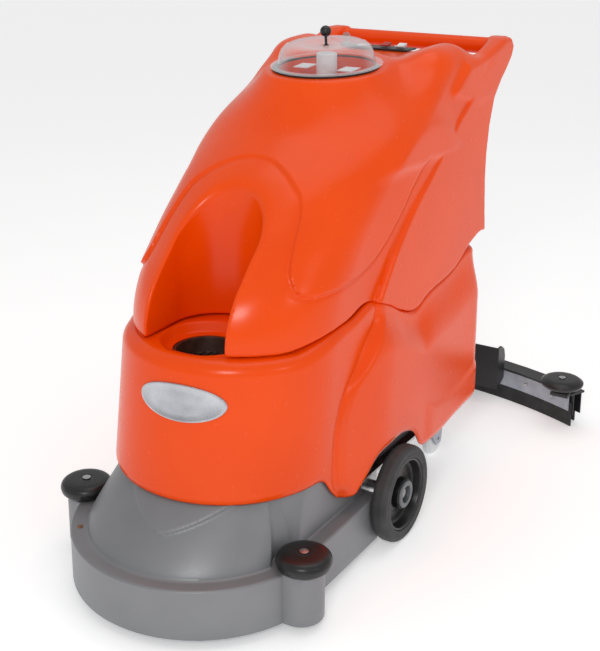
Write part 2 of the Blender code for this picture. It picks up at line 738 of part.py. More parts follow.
def vacuum_motor():
    low = FRAME_TOP + GAP
    turned("vacuum_motor", [(0, 0.300), (0.034, 0.300), (0.040, 0.292), (0.040, 0.240), (0.058, 0.232),
                            (0.061, 0.226), (0.061, low + 0.004), (0.057, low), (0, low)], "cast_grey",
           (0, back(0.680), 0), steps=18)


# ---------------------------------------------------------------- wheels, casters, bumpers
def drive_wheel(side, label):
    """Tyre, dished rim and bearing; the profile's height runs outward along the axle."""
    axis = empty("wheel_axis_" + label, (side * TYRE_IN, back(WHEEL_BACK), WHEEL_R),
                 (0, side * math.pi / 2, 0))
    width = TYRE_OUT - TYRE_IN
    turned("tyre_" + label, [(0.0745, width - 0.001), (0.093, width), (WHEEL_R, width - 0.008),
                             (WHEEL_R, 0.008), (0.093, 0.0), (0.0745, 0.001)],
           "rubber", parent=axis, steps=36, closed=True)
    turned("rim_" + label, [(0.0105, width - 0.018), (0.0165, width - 0.018), (0.0300, width - 0.007),
                            (0.0310, width - 0.020), (0.0660, width - 0.020), (0.0705, width - 0.003),
                            (0.0742, width - 0.003), (0.0742, 0.003), (0.0105, 0.008)],
           "black_gloss", parent=axis, steps=28, closed=True)
    turned("bearing_" + label, [(0.0180, width - 0.002), (0.0270, width - 0.002), (0.0285, width - 0.004),
                                (0.0285, width - 0.0068), (0.0180, width - 0.0160)],
           "cast_grey", parent=axis, steps=20, closed=True)


def caster(side, label):
    x, swivel = side * CASTER_X, back(CASTER_BACK)
    axis = empty("caster_axis_" + label, (x, swivel, 0))
    crown = turned("caster_fork_" + label, [(0, 0.112), (0.018, 0.112), (0.022, 0.108), (0.022, 0.094),
                                            (0, 0.094)], "zinc", parent=axis, steps=14)
    join(crown, box_child("crown_tool", (-0.0175, -0.016, 0.0880), (0.0175, 0.050, 0.0945), axis))
    for leg in (1, -1):
        xs = sorted((leg * 0.0145, leg * 0.0175))
        side_plate = plate("leg_tool", [(-0.014, 0.093), (-0.006, 0.060), (0.018, 0.028), (0.042, 0.028),
                                        (0.049, 0.060), (0.048, 0.093)], 0.003, None,
                           (sum(xs) / 2, 0, 0), (math.pi / 2, 0, math.pi / 2), parent=axis)
        join(crown, side_plate)
    join(crown, rod("pin_tool", 0.0040, (-0.0200, CASTER_TRAIL, CASTER_R), (0.0200, CASTER_TRAIL, CASTER_R),
                    None, parent=axis, sides=16))
    wheel_axis = empty("caster_wheel_axis_" + label, (x, swivel + CASTER_TRAIL, CASTER_R),
                       (0, math.pi / 2, 0))
    turned("caster_wheel_" + label, [(0.0045, 0.0125), (0.016, 0.0125), (0.034, 0.010), (CASTER_R, 0.005),
                                     (CASTER_R, -0.005), (0.034, -0.010), (0.016, -0.0125),
                                     (0.0045, -0.0125)],
           "white", parent=wheel_axis, steps=20, closed=True)


def box_child(name, low, high, parent):
    return box(name, low, high, None, parent=parent)


def roller(name, place, side, foot_z, half):
    """A turned bumper roller on its shoulder bolt, which stands on foot_z."""
    x, distance, z = place
    at = (side * x, back(distance), z)
    turned(name, [(0.0066, half), (0.036, half - 0.0005), (0.048, half - 0.0045), (ROLLER_R, 0.0),
                  (0.049, -half + 0.003), (0.040, -half), (0.0066, -half)],
           "black_gloss", at, steps=24, closed=True)
    low, top = foot_z + GAP - z, half + 0.0002
    turned(name.replace("roller", "roller_bolt"),
           [(0, top + 0.0026), (0.0085, top + 0.001), (0.0085, top), (0.006, top), (0.006, -half - 0.0003),
            (0.011, -half - 0.0003), (0.011, low), (0, low)],
           "steel", at, steps=12)


# ---------------------------------------------------------------- squeegee
ARC_COLUMNS = 14
ARM_X, ARM_HALF = 0.070, 0.004
LIFT_BACK, LIFT_Z = 0.722, 0.102


def arc_sweep(name, section, half_width, material):
    """A section of (radius, z) points carried along the squeegee's arc."""
    bm = bmesh.new()
    spread = math.asin(half_width / ARC_FRONT)
    rows = []
    for i in range(ARC_COLUMNS + 1):
        turn = mix(-spread, spread, i / ARC_COLUMNS)
        rows.append([bm.verts.new((r * math.sin(turn), back(ARC_BACK) + r * math.cos(turn), z))
                     for r, z in section])
    count = len(section)
    for a, b in zip(rows, rows[1:]):
        for i in range(count):
            j = (i + 1) % count
            bm.faces.new((a[i], a[j], b[j], b[i]))
    bm.faces.new(list(reversed(rows[0])))
    bm.faces.new(rows[-1])
    bmesh.ops.recalc_face_normals(bm, faces=bm.faces)
    return add(name, mesh_from(bm, name), material)


def strip(radius, thickness, low, high):
    return [(radius, low), (radius + thickness, low), (radius + thickness, high), (radius, high)]


def squeegee():
    front_wall, rear_wall = ARC_FRONT + 0.0075, ARC_REAR - 0.0095
    under, top = SQUEEGEE_TOP - 0.005, SQUEEGEE_TOP
    wall = 0.003
    channel = [(ARC_FRONT - 0.002, under), (front_wall, under), (front_wall, 0.030),
               (front_wall + wall, 0.030), (front_wall + wall, under), (rear_wall - wall, under),
               (rear_wall - wall, 0.030), (rear_wall, 0.030), (rear_wall, under), (ARC_REAR, under),
               (ARC_REAR, top), (ARC_FRONT - 0.002, top)]
    body = arc_sweep("squeegee_body", channel, 0.398, "black")
    port = (0, back(ARC_BACK + 0.9525))
    join(body, rod("spigot_tool", 0.020, (*port, top - WELD), (*port, top + 0.050), None))
    cut(body, rod("port_hole", 0.016, (*port, under - OVER), (*port, top + 0.060), None))
    for side in (1, -1):
        xs = sorted((side * 0.352, side * 0.396))
        join(body, box("roller_bracket_tool", (xs[0], back(0.964), top - WELD),
                       (xs[1], back(1.040), top + 0.006), None))
    arc_sweep("squeegee_panel", strip(ARC_FRONT, 0.0025, 0.040, under - GAP), 0.390, "zinc")
    arc_sweep("front_blade", strip(ARC_FRONT + 0.0033, 0.0035, 0.0005, 0.062), 0.396, "rubber")
    arc_sweep("rear_blade", strip(rear_wall + 0.0008, 0.0035, 0.0005, 0.062), 0.380, "rubber")
    arc_sweep("rear_clamp", strip(rear_wall + 0.0051, 0.0025, 0.040, under - GAP), 0.380, "steel")


def squeegee_carrier():
    front, low, high, half = 1.000, 0.050, 0.162, 0.200
    wall = 0.005
    obj = box("squeegee_carrier", (-half, back(front), low), (half, back(front) + wall, high), "black")
    for side in (1, -1):
        xs = sorted((side * (half - 0.006), side * half))
        cheek = plate("cheek_tool", [(0.0, low), (0.042, low + 0.02), (0.045, 0.130), (0.038, 0.150),
                                     (0.022, high), (0.0, high)], xs[1] - xs[0], None,
                      (sum(xs) / 2, back(front), 0), (math.pi / 2, 0, math.pi / 2))
        join(obj, cheek)
        xs = sorted((side * 0.080, side * 0.140))
        join(obj, box("lug_tool", (xs[0], back(front), SQUEEGEE_TOP + GAP),
                      (xs[1], back(1.115), SQUEEGEE_TOP + 0.0045), None))
        xs = sorted((side * (ARM_X - ARM_HALF), side * (ARM_X + ARM_HALF)))
        arm = box("arm_tool", (xs[0], back(LIFT_BACK - 0.012), LIFT_Z - 0.008),
                  (xs[1], back(front) + wall, LIFT_Z + 0.008), None)
        join(obj, arm)
        cut(obj, rod("arm_bore", 0.0053, (xs[0] - OVER, back(LIFT_BACK), LIFT_Z),
                     (xs[1] + OVER, back(LIFT_BACK), LIFT_Z), None, sides=16))
    rod("lift_pin", 0.0050, (-0.080, back(LIFT_BACK), LIFT_Z), (0.080, back(LIFT_BACK), LIFT_Z), "steel",
        sides=16)


def squeegee_knobs():
    y = back(1.095)
    for side, label in ((1, "left"), (-1, "right")):
        axis = empty("knob_axis_" + label, (side * 0.110, y, SQUEEGEE_TOP + 0.0045 + GAP))
        outline = []
        for i in range(24):
            turn = 2 * math.pi * i / 24
            radius = 0.0165 + 0.0025 * math.cos(6 * turn)
            outline.append((radius * math.cos(turn), radius * math.sin(turn)))
        plate("squeegee_knob_" + label, outline, 0.018, "black", (0, 0, 0.009), parent=axis)


PEDAL_BACK, PEDAL_Z = 0.775, 0.126


def pedal():
    axis = empty("pedal_axis", (0, back(PEDAL_BACK), PEDAL_Z))
    arm = plate("lift_pedal", [(-0.009, -0.008), (0.110, 0.006), (0.112, 0.014), (-0.009, 0.008)], 0.024,
                "black", (0, 0, 0), (math.pi / 2, 0, math.pi / 2), parent=axis)
    join(arm, box("tread_tool", (-0.032, 0.060, 0.012), (0.032, 0.115, 0.019), None, parent=axis))


# ---------------------------------------------------------------- tank hinge
HINGE_BACK, HINGE_Z, HINGE_R = 0.757, 0.500, 0.0065


def tank_hinge():
    """A knuckle hinge: one leaf inside the lower tank's rear wall, one behind the upper tank's."""
    y = back(HINGE_BACK)
    rod("tank_hinge_pin", 0.0028, (-0.062, y, HINGE_Z), (0.062, y, HINGE_Z), "steel", sides=16)
    lower = box("tank_hinge_lower", (-0.060, back(0.7617), 0.430), (0.060, back(0.7647), 0.480), "steel")
    hinge_half(lower, ((-0.060, -0.0205), (0.0205, 0.060)), (0.755, 0.7647), (0.478, 0.496))
    upper = box("tank_hinge_upper", (-0.020, back(0.7455), 0.498), (0.020, back(0.7485), 0.556), "steel")
    hinge_half(upper, ((-0.020, 0.020),), (0.7455, 0.757), (0.497, 0.503))


def hinge_half(leaf, spans, web_back, web_height):
    """Joins a leaf's knuckles and webs to it and bores them for the pin."""
    y = back(HINGE_BACK)
    for start, end in spans:
        join(leaf, box("web_tool", (start, back(web_back[0]), web_height[0]),
                       (end, back(web_back[1]), web_height[1]), None))
        join(leaf, rod("knuckle_tool", HINGE_R, (start, y, HINGE_Z), (end, y, HINGE_Z), None, sides=16))
    cut(leaf, rod("hinge_bore", 0.0031, (-0.070, y, HINGE_Z), (0.070, y, HINGE_Z), None, sides=16))


def build():
    brush_deck()
    brush_drive()
    lower_tank()
    solution_tank()
    filler_strainer()
    badge()
    upper_tank()
    tank_fittings()
    dome()
    float_valve()
    controls()
    chassis()
    batteries()
    vacuum_motor()
    tank_hinge()
    squeegee()
    squeegee_carrier()
    squeegee_knobs()
    pedal()
    for side, label in ((1, "left"), (-1, "right")):
        drive_wheel(side, label)
        caster(side, label)
        roller("front_roller_" + label, FRONT_ROLLER, side, LEDGE_Z, FRONT_ROLLER_HALF)
        roller("rear_roller_" + label, REAR_ROLLER, side, SQUEEGEE_TOP + 0.006, REAR_ROLLER_HALF)


build()
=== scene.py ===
"""Looks of a walk-behind scrubber-dryer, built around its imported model.

Metres, +Z up. Stations along the machine are given as distances behind the brush deck's centre.
"""
import math

import bpy
import numpy as np
from mathutils import Matrix, Vector


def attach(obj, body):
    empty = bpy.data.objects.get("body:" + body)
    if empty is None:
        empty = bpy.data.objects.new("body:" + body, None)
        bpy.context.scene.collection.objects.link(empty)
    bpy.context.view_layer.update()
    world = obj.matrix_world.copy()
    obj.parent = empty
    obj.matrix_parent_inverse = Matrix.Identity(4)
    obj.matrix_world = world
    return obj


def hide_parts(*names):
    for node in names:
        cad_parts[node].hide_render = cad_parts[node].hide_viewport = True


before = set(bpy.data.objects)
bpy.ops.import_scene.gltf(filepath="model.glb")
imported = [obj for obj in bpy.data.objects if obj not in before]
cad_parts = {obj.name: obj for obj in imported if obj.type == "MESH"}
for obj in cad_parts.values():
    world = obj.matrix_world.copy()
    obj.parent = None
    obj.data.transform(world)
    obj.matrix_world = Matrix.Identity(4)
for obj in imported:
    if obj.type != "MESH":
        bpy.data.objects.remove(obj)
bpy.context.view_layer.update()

# ---------------------------------------------------------------- shared dimensions
DECK_Y = -0.435            # centre of the brush deck
DECK_R = 0.255
SKIRT_LOW, LEDGE_Z = 0.018, 0.116
TANK_FOOT_Z = 0.220        # lower edge of the tank's front
TANK_BACK, TANK_R = 0.095, 0.2215       # circle of the lower tank's front
TANK_REAR = 0.770
HOOD_REAR = 0.745          # recovery tank's rear wall
DOME_BACK, DOME_Z, DOME_TILT = 0.457, 0.932, math.radians(4.5)
WHEEL_BACK, WHEEL_R, TYRE_IN, TYRE_OUT = 0.310, 0.100, 0.250, 0.285
ARC_BACK, ARC_FRONT, ARC_REAR = 0.150, 0.930, 0.975
SQUEEGEE_TOP = 0.088
FRONT_ROLLER = (0.256, -0.048, 0.132)
REAR_ROLLER = (0.373, 0.986, 0.118)
ROLLER_R, FRONT_ROLLER_HALF, REAR_ROLLER_HALF = 0.052, 0.015, 0.011
SIDES = ((1, "left"), (-1, "right"))


# ---------------------------------------------------------------- numbers and curves
def mix(a, b, t):
    """A value between a, at t 0, and b, at t 1."""
    return a + (b - a) * t


def ease(t):
    """A soft step from 0 at t 0 to 1 at t 1."""
    t = np.clip(t, 0.0, 1.0)
    return t * t * (3.0 - 2.0 * t)


def line(points, at):
    """Smooth line through (at, value) points, level beyond its ends; takes arrays."""
    xs, ys = (np.array(v, dtype=float) for v in zip(*points))
    slopes = np.gradient(ys, xs)
    slopes[0] = slopes[-1] = 0.0
    at = np.clip(at, xs[0], xs[-1])
    i = np.clip(np.searchsorted(xs, at) - 1, 0, len(xs) - 2)
    span = xs[i + 1] - xs[i]
    t = (at - xs[i]) / span
    return ((2 * t ** 3 - 3 * t ** 2 + 1) * ys[i] + (t ** 3 - 2 * t ** 2 + t) * span * slopes[i]
            + (3 * t ** 2 - 2 * t ** 3) * ys[i + 1] + (t ** 3 - t ** 2) * span * slopes[i + 1])


# ---------------------------------------------------------------- solids as distance fields
def union(a, b, blend=0.001):
    h = np.clip(0.5 + 0.5 * (b - a) / blend, 0.0, 1.0)
    return b + (a - b) * h - blend * h * (1.0 - h)


def common(a, b, blend=0.001):
    return -union(-a, -b, blend)


def inside_outline(points, u, v):
    """Distance to a closed outline in a plane, negative inside it."""
    shape = np.broadcast(u, v).shape
    nearest = np.full(shape, 1e9)
    sign = np.ones(shape)
    for (ax, ay), (bx, by) in zip(points, points[1:] + points[:1]):
        ex, ey = bx - ax, by - ay
        wx, wy = u - ax, v - ay
        t = np.clip((wx * ex + wy * ey) / (ex * ex + ey * ey), 0.0, 1.0)
        nearest = np.minimum(nearest, (wx - ex * t) ** 2 + (wy - ey * t) ** 2)
        above, below, left = v >= ay, v < by, ex * wy > ey * wx
        sign = np.where((above & below & left) | (~above & ~below & ~left), -sign, sign)
    return sign * np.sqrt(nearest)


def skin(name, field, low, high, step):
    """Mesh of the surface where a field is zero; the field is negative inside."""
    axes = [np.arange(a, b + step, step) for a, b in zip(low, high)]
    value = field(*np.meshgrid(*axes, indexing="ij", sparse=True))
    solid = value < 0.0
    size = [n - 1 for n in solid.shape]
    corners = np.zeros(size, dtype=np.int8)
    for i in (0, 1):
        for j in (0, 1):
            for k in (0, 1):
                corners += solid[i:i + size[0], j:j + size[1], k:k + size[2]]
    cells = np.argwhere((corners > 0) & (corners < 8))
    index = np.full(size, -1, dtype=np.int64)
    index[tuple(cells.T)] = np.arange(len(cells))
    start = np.array(low) + (cells + 0.5) * step
    spots = settle(field, start, step)
    faces = np.concatenate([crossings(solid, index, axis) for axis in range(3)])
    mesh = bpy.data.meshes.new(name)
    mesh.from_pydata(spots.tolist(), [], faces.tolist())
    return finished(name, mesh, sharp=60)


def settle(field, start, step):
    """Moves points onto the surface along its gradient."""
    spots = start.copy()
    h = 0.0004
    for _ in range(4):
        value = field(spots[:, 0], spots[:, 1], spots[:, 2])
        slope = np.zeros_like(spots)
        for axis in range(3):
            ahead, behind = spots.copy(), spots.copy()
            ahead[:, axis] += h
            behind[:, axis] -= h
            slope[:, axis] = (field(*ahead.T) - field(*behind.T)) / (2 * h)
        length = np.maximum((slope ** 2).sum(1), 0.05)
        spots -= slope * (value / length)[:, None]
        spots = np.clip(spots, start - 0.75 * step, start + 0.75 * step)
    return spots


def crossings(solid, index, axis):
    """Quads across the grid edges along one axis that pass through the surface."""
    near = np.moveaxis(solid, axis, 0)
    cells = np.moveaxis(index, axis, 0)
    change = near[:-1, 1:-1, 1:-1] != near[1:, 1:-1, 1:-1]
    at = np.argwhere(change)
    i, j, k = at[:, 0], at[:, 1] + 1, at[:, 2] + 1
    quad = np.stack([cells[i, j - 1, k - 1], cells[i, j, k - 1], cells[i, j, k], cells[i, j - 1, k]], 1)
    inward = near[i, j, k]
    if axis == 1:
        inward = ~inward
    quad[~inward] = quad[~inward][:, ::-1]
    return quad


# ---------------------------------------------------------------- mesh helpers
def finished(name, mesh, material=None, sharp=35):
    obj = bpy.data.objects.new(name, mesh)
    bpy.context.scene.collection.objects.link(obj)
    mesh.shade_smooth()
    mesh.set_sharp_from_angle(angle=math.radians(sharp))
    if material:
        mesh.materials.append(MATERIALS[material])
    return obj


def grid_mesh(name, rows, material, closed=True, caps=False):
    """A surface through rows of equally many points."""
    count = len(rows[0])
    last = count if closed else count - 1
    faces = []
    for r in range(len(rows) - 1):
        for i in range(last):
            j = (i + 1) % count
            faces.append((r * count + i, r * count + j, (r + 1) * count + j, (r + 1) * count + i))
    if caps:
        faces.append(tuple(range(count))[::-1])
        faces.append(tuple((len(rows) - 1) * count + i for i in range(count)))
    mesh = bpy.data.meshes.new(name)
    mesh.from_pydata([tuple(float(v) for v in p) for row in rows for p in row], [], faces)
    mesh.update()
    return finished(name, mesh, material)


def placed(centre, rotation=(0, 0, 0)):
    turn = Matrix.Rotation(rotation[2], 4, "Z") @ Matrix.Rotation(rotation[1], 4, "Y") \
        @ Matrix.Rotation(rotation[0], 4, "X")
    return Matrix.Translation(Vector(centre)) @ turn


def turned(name, profile, material, centre, rotation=(0, 0, 0), steps=96, ring=False):
    """A profile of (radius, height) turned about its own Z axis, then placed."""
    where = placed(centre, rotation)
    line_points = list(profile) + ([profile[0]] if ring else [])
    rows = []
    for r, z in line_points:
        rows.append([where @ Vector((r * math.cos(a), r * math.sin(a), z))
                     for a in (2 * math.pi * i / steps for i in range(steps))])
    obj = grid_mesh(name, rows, material)
    weld(obj)
    return obj


def weld(obj, distance=0.00002):
    mod = obj.modifiers.new("weld", "WELD")
    mod.merge_threshold = distance


def thicken(obj, thickness):
    """Gives an open surface a wall on its inner side."""
    mod = obj.modifiers.new("wall", "SOLIDIFY")
    mod.thickness = thickness
    mod.offset = -1.0


def rounded(points, radius=0.002, steps=4, closed=False):
    """A profile with each of its corners replaced by a small arc-like curve."""
    out = []
    count = len(points)
    for i, p in enumerate(points):
        if not closed and i in (0, count - 1):
            out.append(p)
            continue
        before, after = Vector(points[i - 1]), Vector(points[(i + 1) % count])
        here = Vector(p)
        reach = min(radius, (before - here).length * 0.45, (after - here).length * 0.45)
        start = here + (before - here).normalized() * reach
        end = here + (after - here).normalized() * reach
        for k in range(steps + 1):
            t = k / steps
            spot = start * (1 - t) ** 2 + here * 2 * t * (1 - t) + end * t ** 2
            out.append((spot.x, spot.y))
    return out


def back(distance):
    """World Y of a station given as its distance behind the deck centre."""
    return DECK_Y + distance


# ---------------------------------------------------------------- materials
MATERIALS = {}


def new_material(name):
    mat = bpy.data.materials.new(name)
    mat.use_nodes = True
    MATERIALS[name] = mat
    return mat, mat.node_tree, mat.node_tree.nodes["Principled BSDF"]


def noise(tree, scale, detail=3.0, rough=0.5):
    coords = tree.nodes.new("ShaderNodeTexCoord")
    node = tree.nodes.new("ShaderNodeTexNoise")
    node.inputs["Scale"].default_value = scale
    node.inputs["Detail"].default_value = detail
    node.inputs["Roughness"].default_value = rough
    tree.links.new(coords.outputs["Object"], node.inputs["Vector"])
    return node.outputs["Fac"]


def ramp(tree, fac, low, high, start=0.3, end=0.7):
    node = tree.nodes.new("ShaderNodeMapRange")
    node.inputs["From Min"].default_value = start
    node.inputs["From Max"].default_value = end
    node.inputs["To Min"].default_value = low
    node.inputs["To Max"].default_value = high
    tree.links.new(fac, node.inputs["Value"])
    return node.outputs["Result"]


def shade_between(tree, fac, dark, light, start=0.3, end=0.7):
    node = tree.nodes.new("ShaderNodeMix")
    node.data_type = "RGBA"
    node.inputs["A"].default_value = (*dark, 1.0)
    node.inputs["B"].default_value = (*light, 1.0)
    tree.links.new(ramp(tree, fac, 0.0, 1.0, start, end), node.inputs["Factor"])
    return node.outputs["Result"]


def bump(tree, shader, fac, strength, distance):
    node = tree.nodes.new("ShaderNodeBump")
    node.inputs["Strength"].default_value = strength
    node.inputs["Distance"].default_value = distance
    tree.links.new(fac, node.inputs["Height"])
    tree.links.new(node.outputs["Normal"], shader.inputs["Normal"])


def surface(name, dark, light, rough, metal=0.0, patch=18.0, grain=260.0, relief=0.0003, specular=0.5):
    """Colour varies in soft patches, roughness and relief in a finer grain."""
    mat, tree, shader = new_material(name)
    tree.links.new(shade_between(tree, noise(tree, patch), dark, light), shader.inputs["Base Color"])
    fine = noise(tree, grain, 4.0, 0.6)
    tree.links.new(ramp(tree, fine, rough[0], rough[1]), shader.inputs["Roughness"])
    shader.inputs["Metallic"].default_value = metal
    shader.inputs["Specular IOR Level"].default_value = specular
    if relief:
        bump(tree, shader, fine, 0.25, relief)


# Darker and lighter colour, lowest and highest roughness, then what differs from surface()'s defaults.
FINISHES = {
    "orange": ((0.84, 0.066, 0.0), (0.90, 0.075, 0.0), (0.22, 0.28),
               dict(patch=5.0, grain=60.0, relief=0.0, specular=0.28)),
    "cast": ((0.215, 0.218, 0.228), (0.240, 0.243, 0.253), (0.38, 0.48),
             dict(metal=0.30, patch=9.0, grain=420.0, relief=0.0002)),
    "zinc": ((0.33, 0.36, 0.41), (0.44, 0.47, 0.52), (0.38, 0.55),
             dict(metal=0.3, patch=40.0, grain=500.0)),
    "steel": ((0.42, 0.42, 0.42), (0.58, 0.58, 0.58), (0.25, 0.40),
              dict(metal=1.0, patch=60.0, grain=600.0)),
    "black_plastic": ((0.008, 0.008, 0.009), (0.016, 0.016, 0.018), (0.30, 0.46),
                      dict(patch=30.0, grain=500.0)),
    "black_gloss": ((0.006, 0.006, 0.006), (0.012, 0.012, 0.012), (0.28, 0.38),
                    dict(patch=30.0, grain=300.0, relief=0.0001)),
    "rubber": ((0.014, 0.014, 0.015), (0.030, 0.030, 0.032), (0.60, 0.80), dict(patch=40.0, grain=700.0)),
    "tyre": ((0.022, 0.023, 0.024), (0.052, 0.053, 0.055), (0.55, 0.75), dict(patch=22.0, grain=600.0)),
    "natural": ((0.62, 0.63, 0.62), (0.74, 0.75, 0.74), (0.35, 0.50), dict(patch=25.0)),
    "white": ((0.70, 0.71, 0.73), (0.82, 0.83, 0.84), (0.30, 0.42), dict(patch=40.0)),
    "silver": ((0.42, 0.43, 0.46), (0.62, 0.63, 0.66), (0.24, 0.34),
               dict(metal=0.85, patch=14.0, grain=300.0)),
    "hub_grey": ((0.10, 0.11, 0.12), (0.17, 0.18, 0.19), (0.35, 0.50), dict(metal=0.3, patch=60.0)),
    "brown_mesh": ((0.020, 0.010, 0.007), (0.055, 0.028, 0.018), (0.35, 0.50), dict(patch=50.0)),
    "red": ((0.38, 0.015, 0.012), (0.48, 0.03, 0.02), (0.28, 0.40), dict()),
    "rust": ((0.16, 0.06, 0.025), (0.33, 0.15, 0.07), (0.60, 0.80), dict(metal=0.2, patch=300.0)),
    "bristle": ((0.02, 0.05, 0.12), (0.06, 0.10, 0.20), (0.60, 0.80), dict(patch=400.0, grain=900.0)),
}


def make_materials():
    for name, (dark, light, rough, rest) in FINISHES.items():
        surface(name, dark, light, rough, **rest)
    clear_material()


def clear_material():
    """Thin clear plastic. Its faint white tint is the plastic's own; the white that grows where it is seen
    edge on is a painted reflection.
    """
    mat, tree, shader = new_material("clear")
    tree.links.new(ramp(tree, noise(tree, 60.0), 0.03, 0.07), shader.inputs["Roughness"])
    shader.inputs["Base Color"].default_value = (0.80, 0.81, 0.83, 1.0)
    edge = tree.nodes.new("ShaderNodeLayerWeight")
    edge.inputs["Blend"].default_value = 0.35
    # Alpha rises where the surface is seen edge on, so the white base colour shows there as a painted
    # reflection.
    tree.links.new(ramp(tree, edge.outputs["Facing"], 0.07, 0.70, 0.25, 1.0), shader.inputs["Alpha"])


make_materials()


def paint(node, material):
    """Gives a CAD node a finish; its shape stays."""
    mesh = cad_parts[node].data
    mesh.materials.clear()
    mesh.materials.append(MATERIALS[material])
    mesh.shade_smooth()
    mesh.set_sharp_from_angle(angle=math.radians(30))


def piece(obj, body, nodes=()):
    """Makes an object move with a body, and hides the CAD nodes it stands for."""
    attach(obj, body)
    if nodes:
        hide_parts(*nodes)


# ---------------------------------------------------------------- recovery tank
# The first three run up the hood by height; the others run back along the machine or across it.
HOOD_FRONT = [(0.490, -0.077), (0.540, -0.067), (0.580, -0.045), (0.620, -0.009), (0.660, 0.029),
              (0.700, 0.072), (0.740, 0.117), (0.780, 0.172), (0.820, 0.235), (0.860, 0.310),
              (0.900, 0.370), (0.940, 0.420)]
HOOD_WIDTH = [(0.490, 0.2185), (0.700, 0.2190), (0.860, 0.2160), (0.960, 0.2080)]
HOOD_DEPTH = [(0.490, 0.218), (0.820, 0.208), (0.960, 0.200)]
ROOF = [(0.250, 0.838), (0.340, 0.864), (0.450, 0.898), (0.530, 0.924), (0.600, 0.938),
        (0.660, 0.9412), (0.760, 0.9412)]
PARTING = [(0.010, 0.483), (0.060, 0.491), (0.110, 0.499), (0.180, 0.504), (0.250, 0.517),
           (0.320, 0.495), (0.370, 0.470), (0.440, 0.452), (0.480, 0.466), (0.610, 0.487),
           (0.700, 0.512), (0.770, 0.510)]
FIN_FOOT = [(0.600, 0.487), (0.700, 0.526), (0.760, 0.540), (0.800, 0.535)]
BONNET_ACROSS = [(0.0, 0.792), (0.065, 0.777), (0.105, 0.752), (0.125, 0.733), (0.137, 0.707),
                 (0.149, 0.654), (0.155, 0.628), (0.165, 0.605), (0.182, 0.583), (0.200, 0.574)]
BONNET_ALONG = [(0.060, 0.574), (0.146, 0.579), (0.222, 0.588), (0.281, 0.607), (0.356, 0.660),
                (0.409, 0.711), (0.524, 0.805), (0.565, 0.841), (0.620, 0.885)]
SIDE_PANEL = [(0.262, 0.480), (0.279, 0.516), (0.296, 0.541), (0.337, 0.593), (0.379, 0.638),
              (0.432, 0.686), (0.524, 0.754), (0.622, 0.825), (0.747, 0.897), (0.820, 0.938), (0.862, 0.957),
              (0.888, 0.957), (0.898, 0.943), (0.890, 0.925), (0.866, 0.902), (0.835, 0.876),
              (0.806, 0.835), (0.786, 0.780), (0.776, 0.720), (0.775, 0.660), (0.781, 0.590),
              (0.793, 0.500), (0.600, 0.440), (0.440, 0.430), (0.330, 0.450)]
ARM = [(0.600, 0.880), (0.660, 0.925), (0.730, 0.934), (0.800, 0.952), (0.850, 0.9630), (0.884, 0.960),
       (0.899, 0.944), (0.889, 0.922), (0.850, 0.890), (0.800, 0.860), (0.700, 0.850)]
PANEL_SKIN, PANEL_IN = 0.2345, 0.196    # the flank panel's outer and inner face, from the middle
PANEL_TAPER = 0.005        # how much nearer the middle the panel's front end is
BEVEL = 0.0075             # of the panel's edge
ARM_MIDDLE, ARM_HALF = 0.2155, 0.0195
BAR_BACK, BAR_Z, BAR_R, BAR_HALF = 0.880, 0.943, 0.0190, 0.215
SCOOP_R, SCOOP_BACK = 0.088, 0.050
BONNET_STEP, GROOVE_DEPTH = 0.0045, 0.0012
FLANK_SWELL = 0.048        # share by which the hood widens towards the rear
CREST_RISE = 0.030         # of the shoulder on each side of the dome
NECK_R, NECK_LOW = 0.131, 0.780         # collar under the dome's seal
WELL_R, WELL_LOW = 0.1005, 0.80         # opening under the dome
FLOOR_Z = 0.5045           # underside between the flanks
SCOOP_FOOT_Z = 0.4840      # underside round the scoop
FINE_STEP, QUICK_STEP = 0.0036, 0.008   # grid of the recovery tank's mesh


def height_over(points, along, z):
    """Distance above a curve given as heights along a line, measured square to the curve."""
    here = line(points, along)
    slope = (line(points, along + 0.001) - line(points, along - 0.001)) / 0.002
    return (z - here) / np.sqrt(1.0 + slope ** 2)


def from_dome(s, d):
    """Distance from the dome's axis in plan."""
    return np.sqrt(s ** 2 + (d - DOME_BACK) ** 2)


def hood(s, d, z):
    """The recovery tank's body: half width s, distance behind the deck centre d, height z."""
    front, width, depth = line(HOOD_FRONT, z), line(HOOD_WIDTH, z), line(HOOD_DEPTH, z)
    width = width * (1.0 + FLANK_SWELL * ease((d - 0.22) / 0.25))
    ahead = np.maximum(front + depth - d, 0.0) / depth
    side = (np.sqrt((s / width) ** 2 + ahead ** 2) - 1.0) * width * 0.75
    wall = common(side, d - HOOD_REAR, 0.030)
    crest = CREST_RISE * ease((s - 0.06) / 0.12) * ease((d - 0.42) / 0.16) * (1.0 - ease((d - 0.66) / 0.12))
    roof_blend = mix(0.075, 0.045, ease((d - 0.45) / 0.15))
    body = common(wall, (z - line(ROOF, d) - crest) * 0.93, roof_blend)
    seat = DOME_Z + (d - DOME_BACK) * math.tan(DOME_TILT)
    neck = common(z - seat, (from_dome(s, d) - NECK_R - 0.75 * (seat - z)) * 0.8, 0.004)
    neck = common(neck, NECK_LOW - z, 0.02)
    return union(body, neck, 0.045)


def bonnet(s, d, z):
    """How far the raised bonnet stands out, with the fine groove along its edge."""
    edge = union(height_over(BONNET_ACROSS, s, z), height_over(BONNET_ALONG, d, z), 0.012)
    fade = 1.0 - ease((d - 0.40) / 0.16)
    rise = BONNET_STEP * ease((edge + 0.0035) / 0.007)
    groove = GROOVE_DEPTH * np.exp(-((edge + 0.0055) / 0.0035) ** 2)
    return BONNET_STEP + (rise - BONNET_STEP - groove) * fade


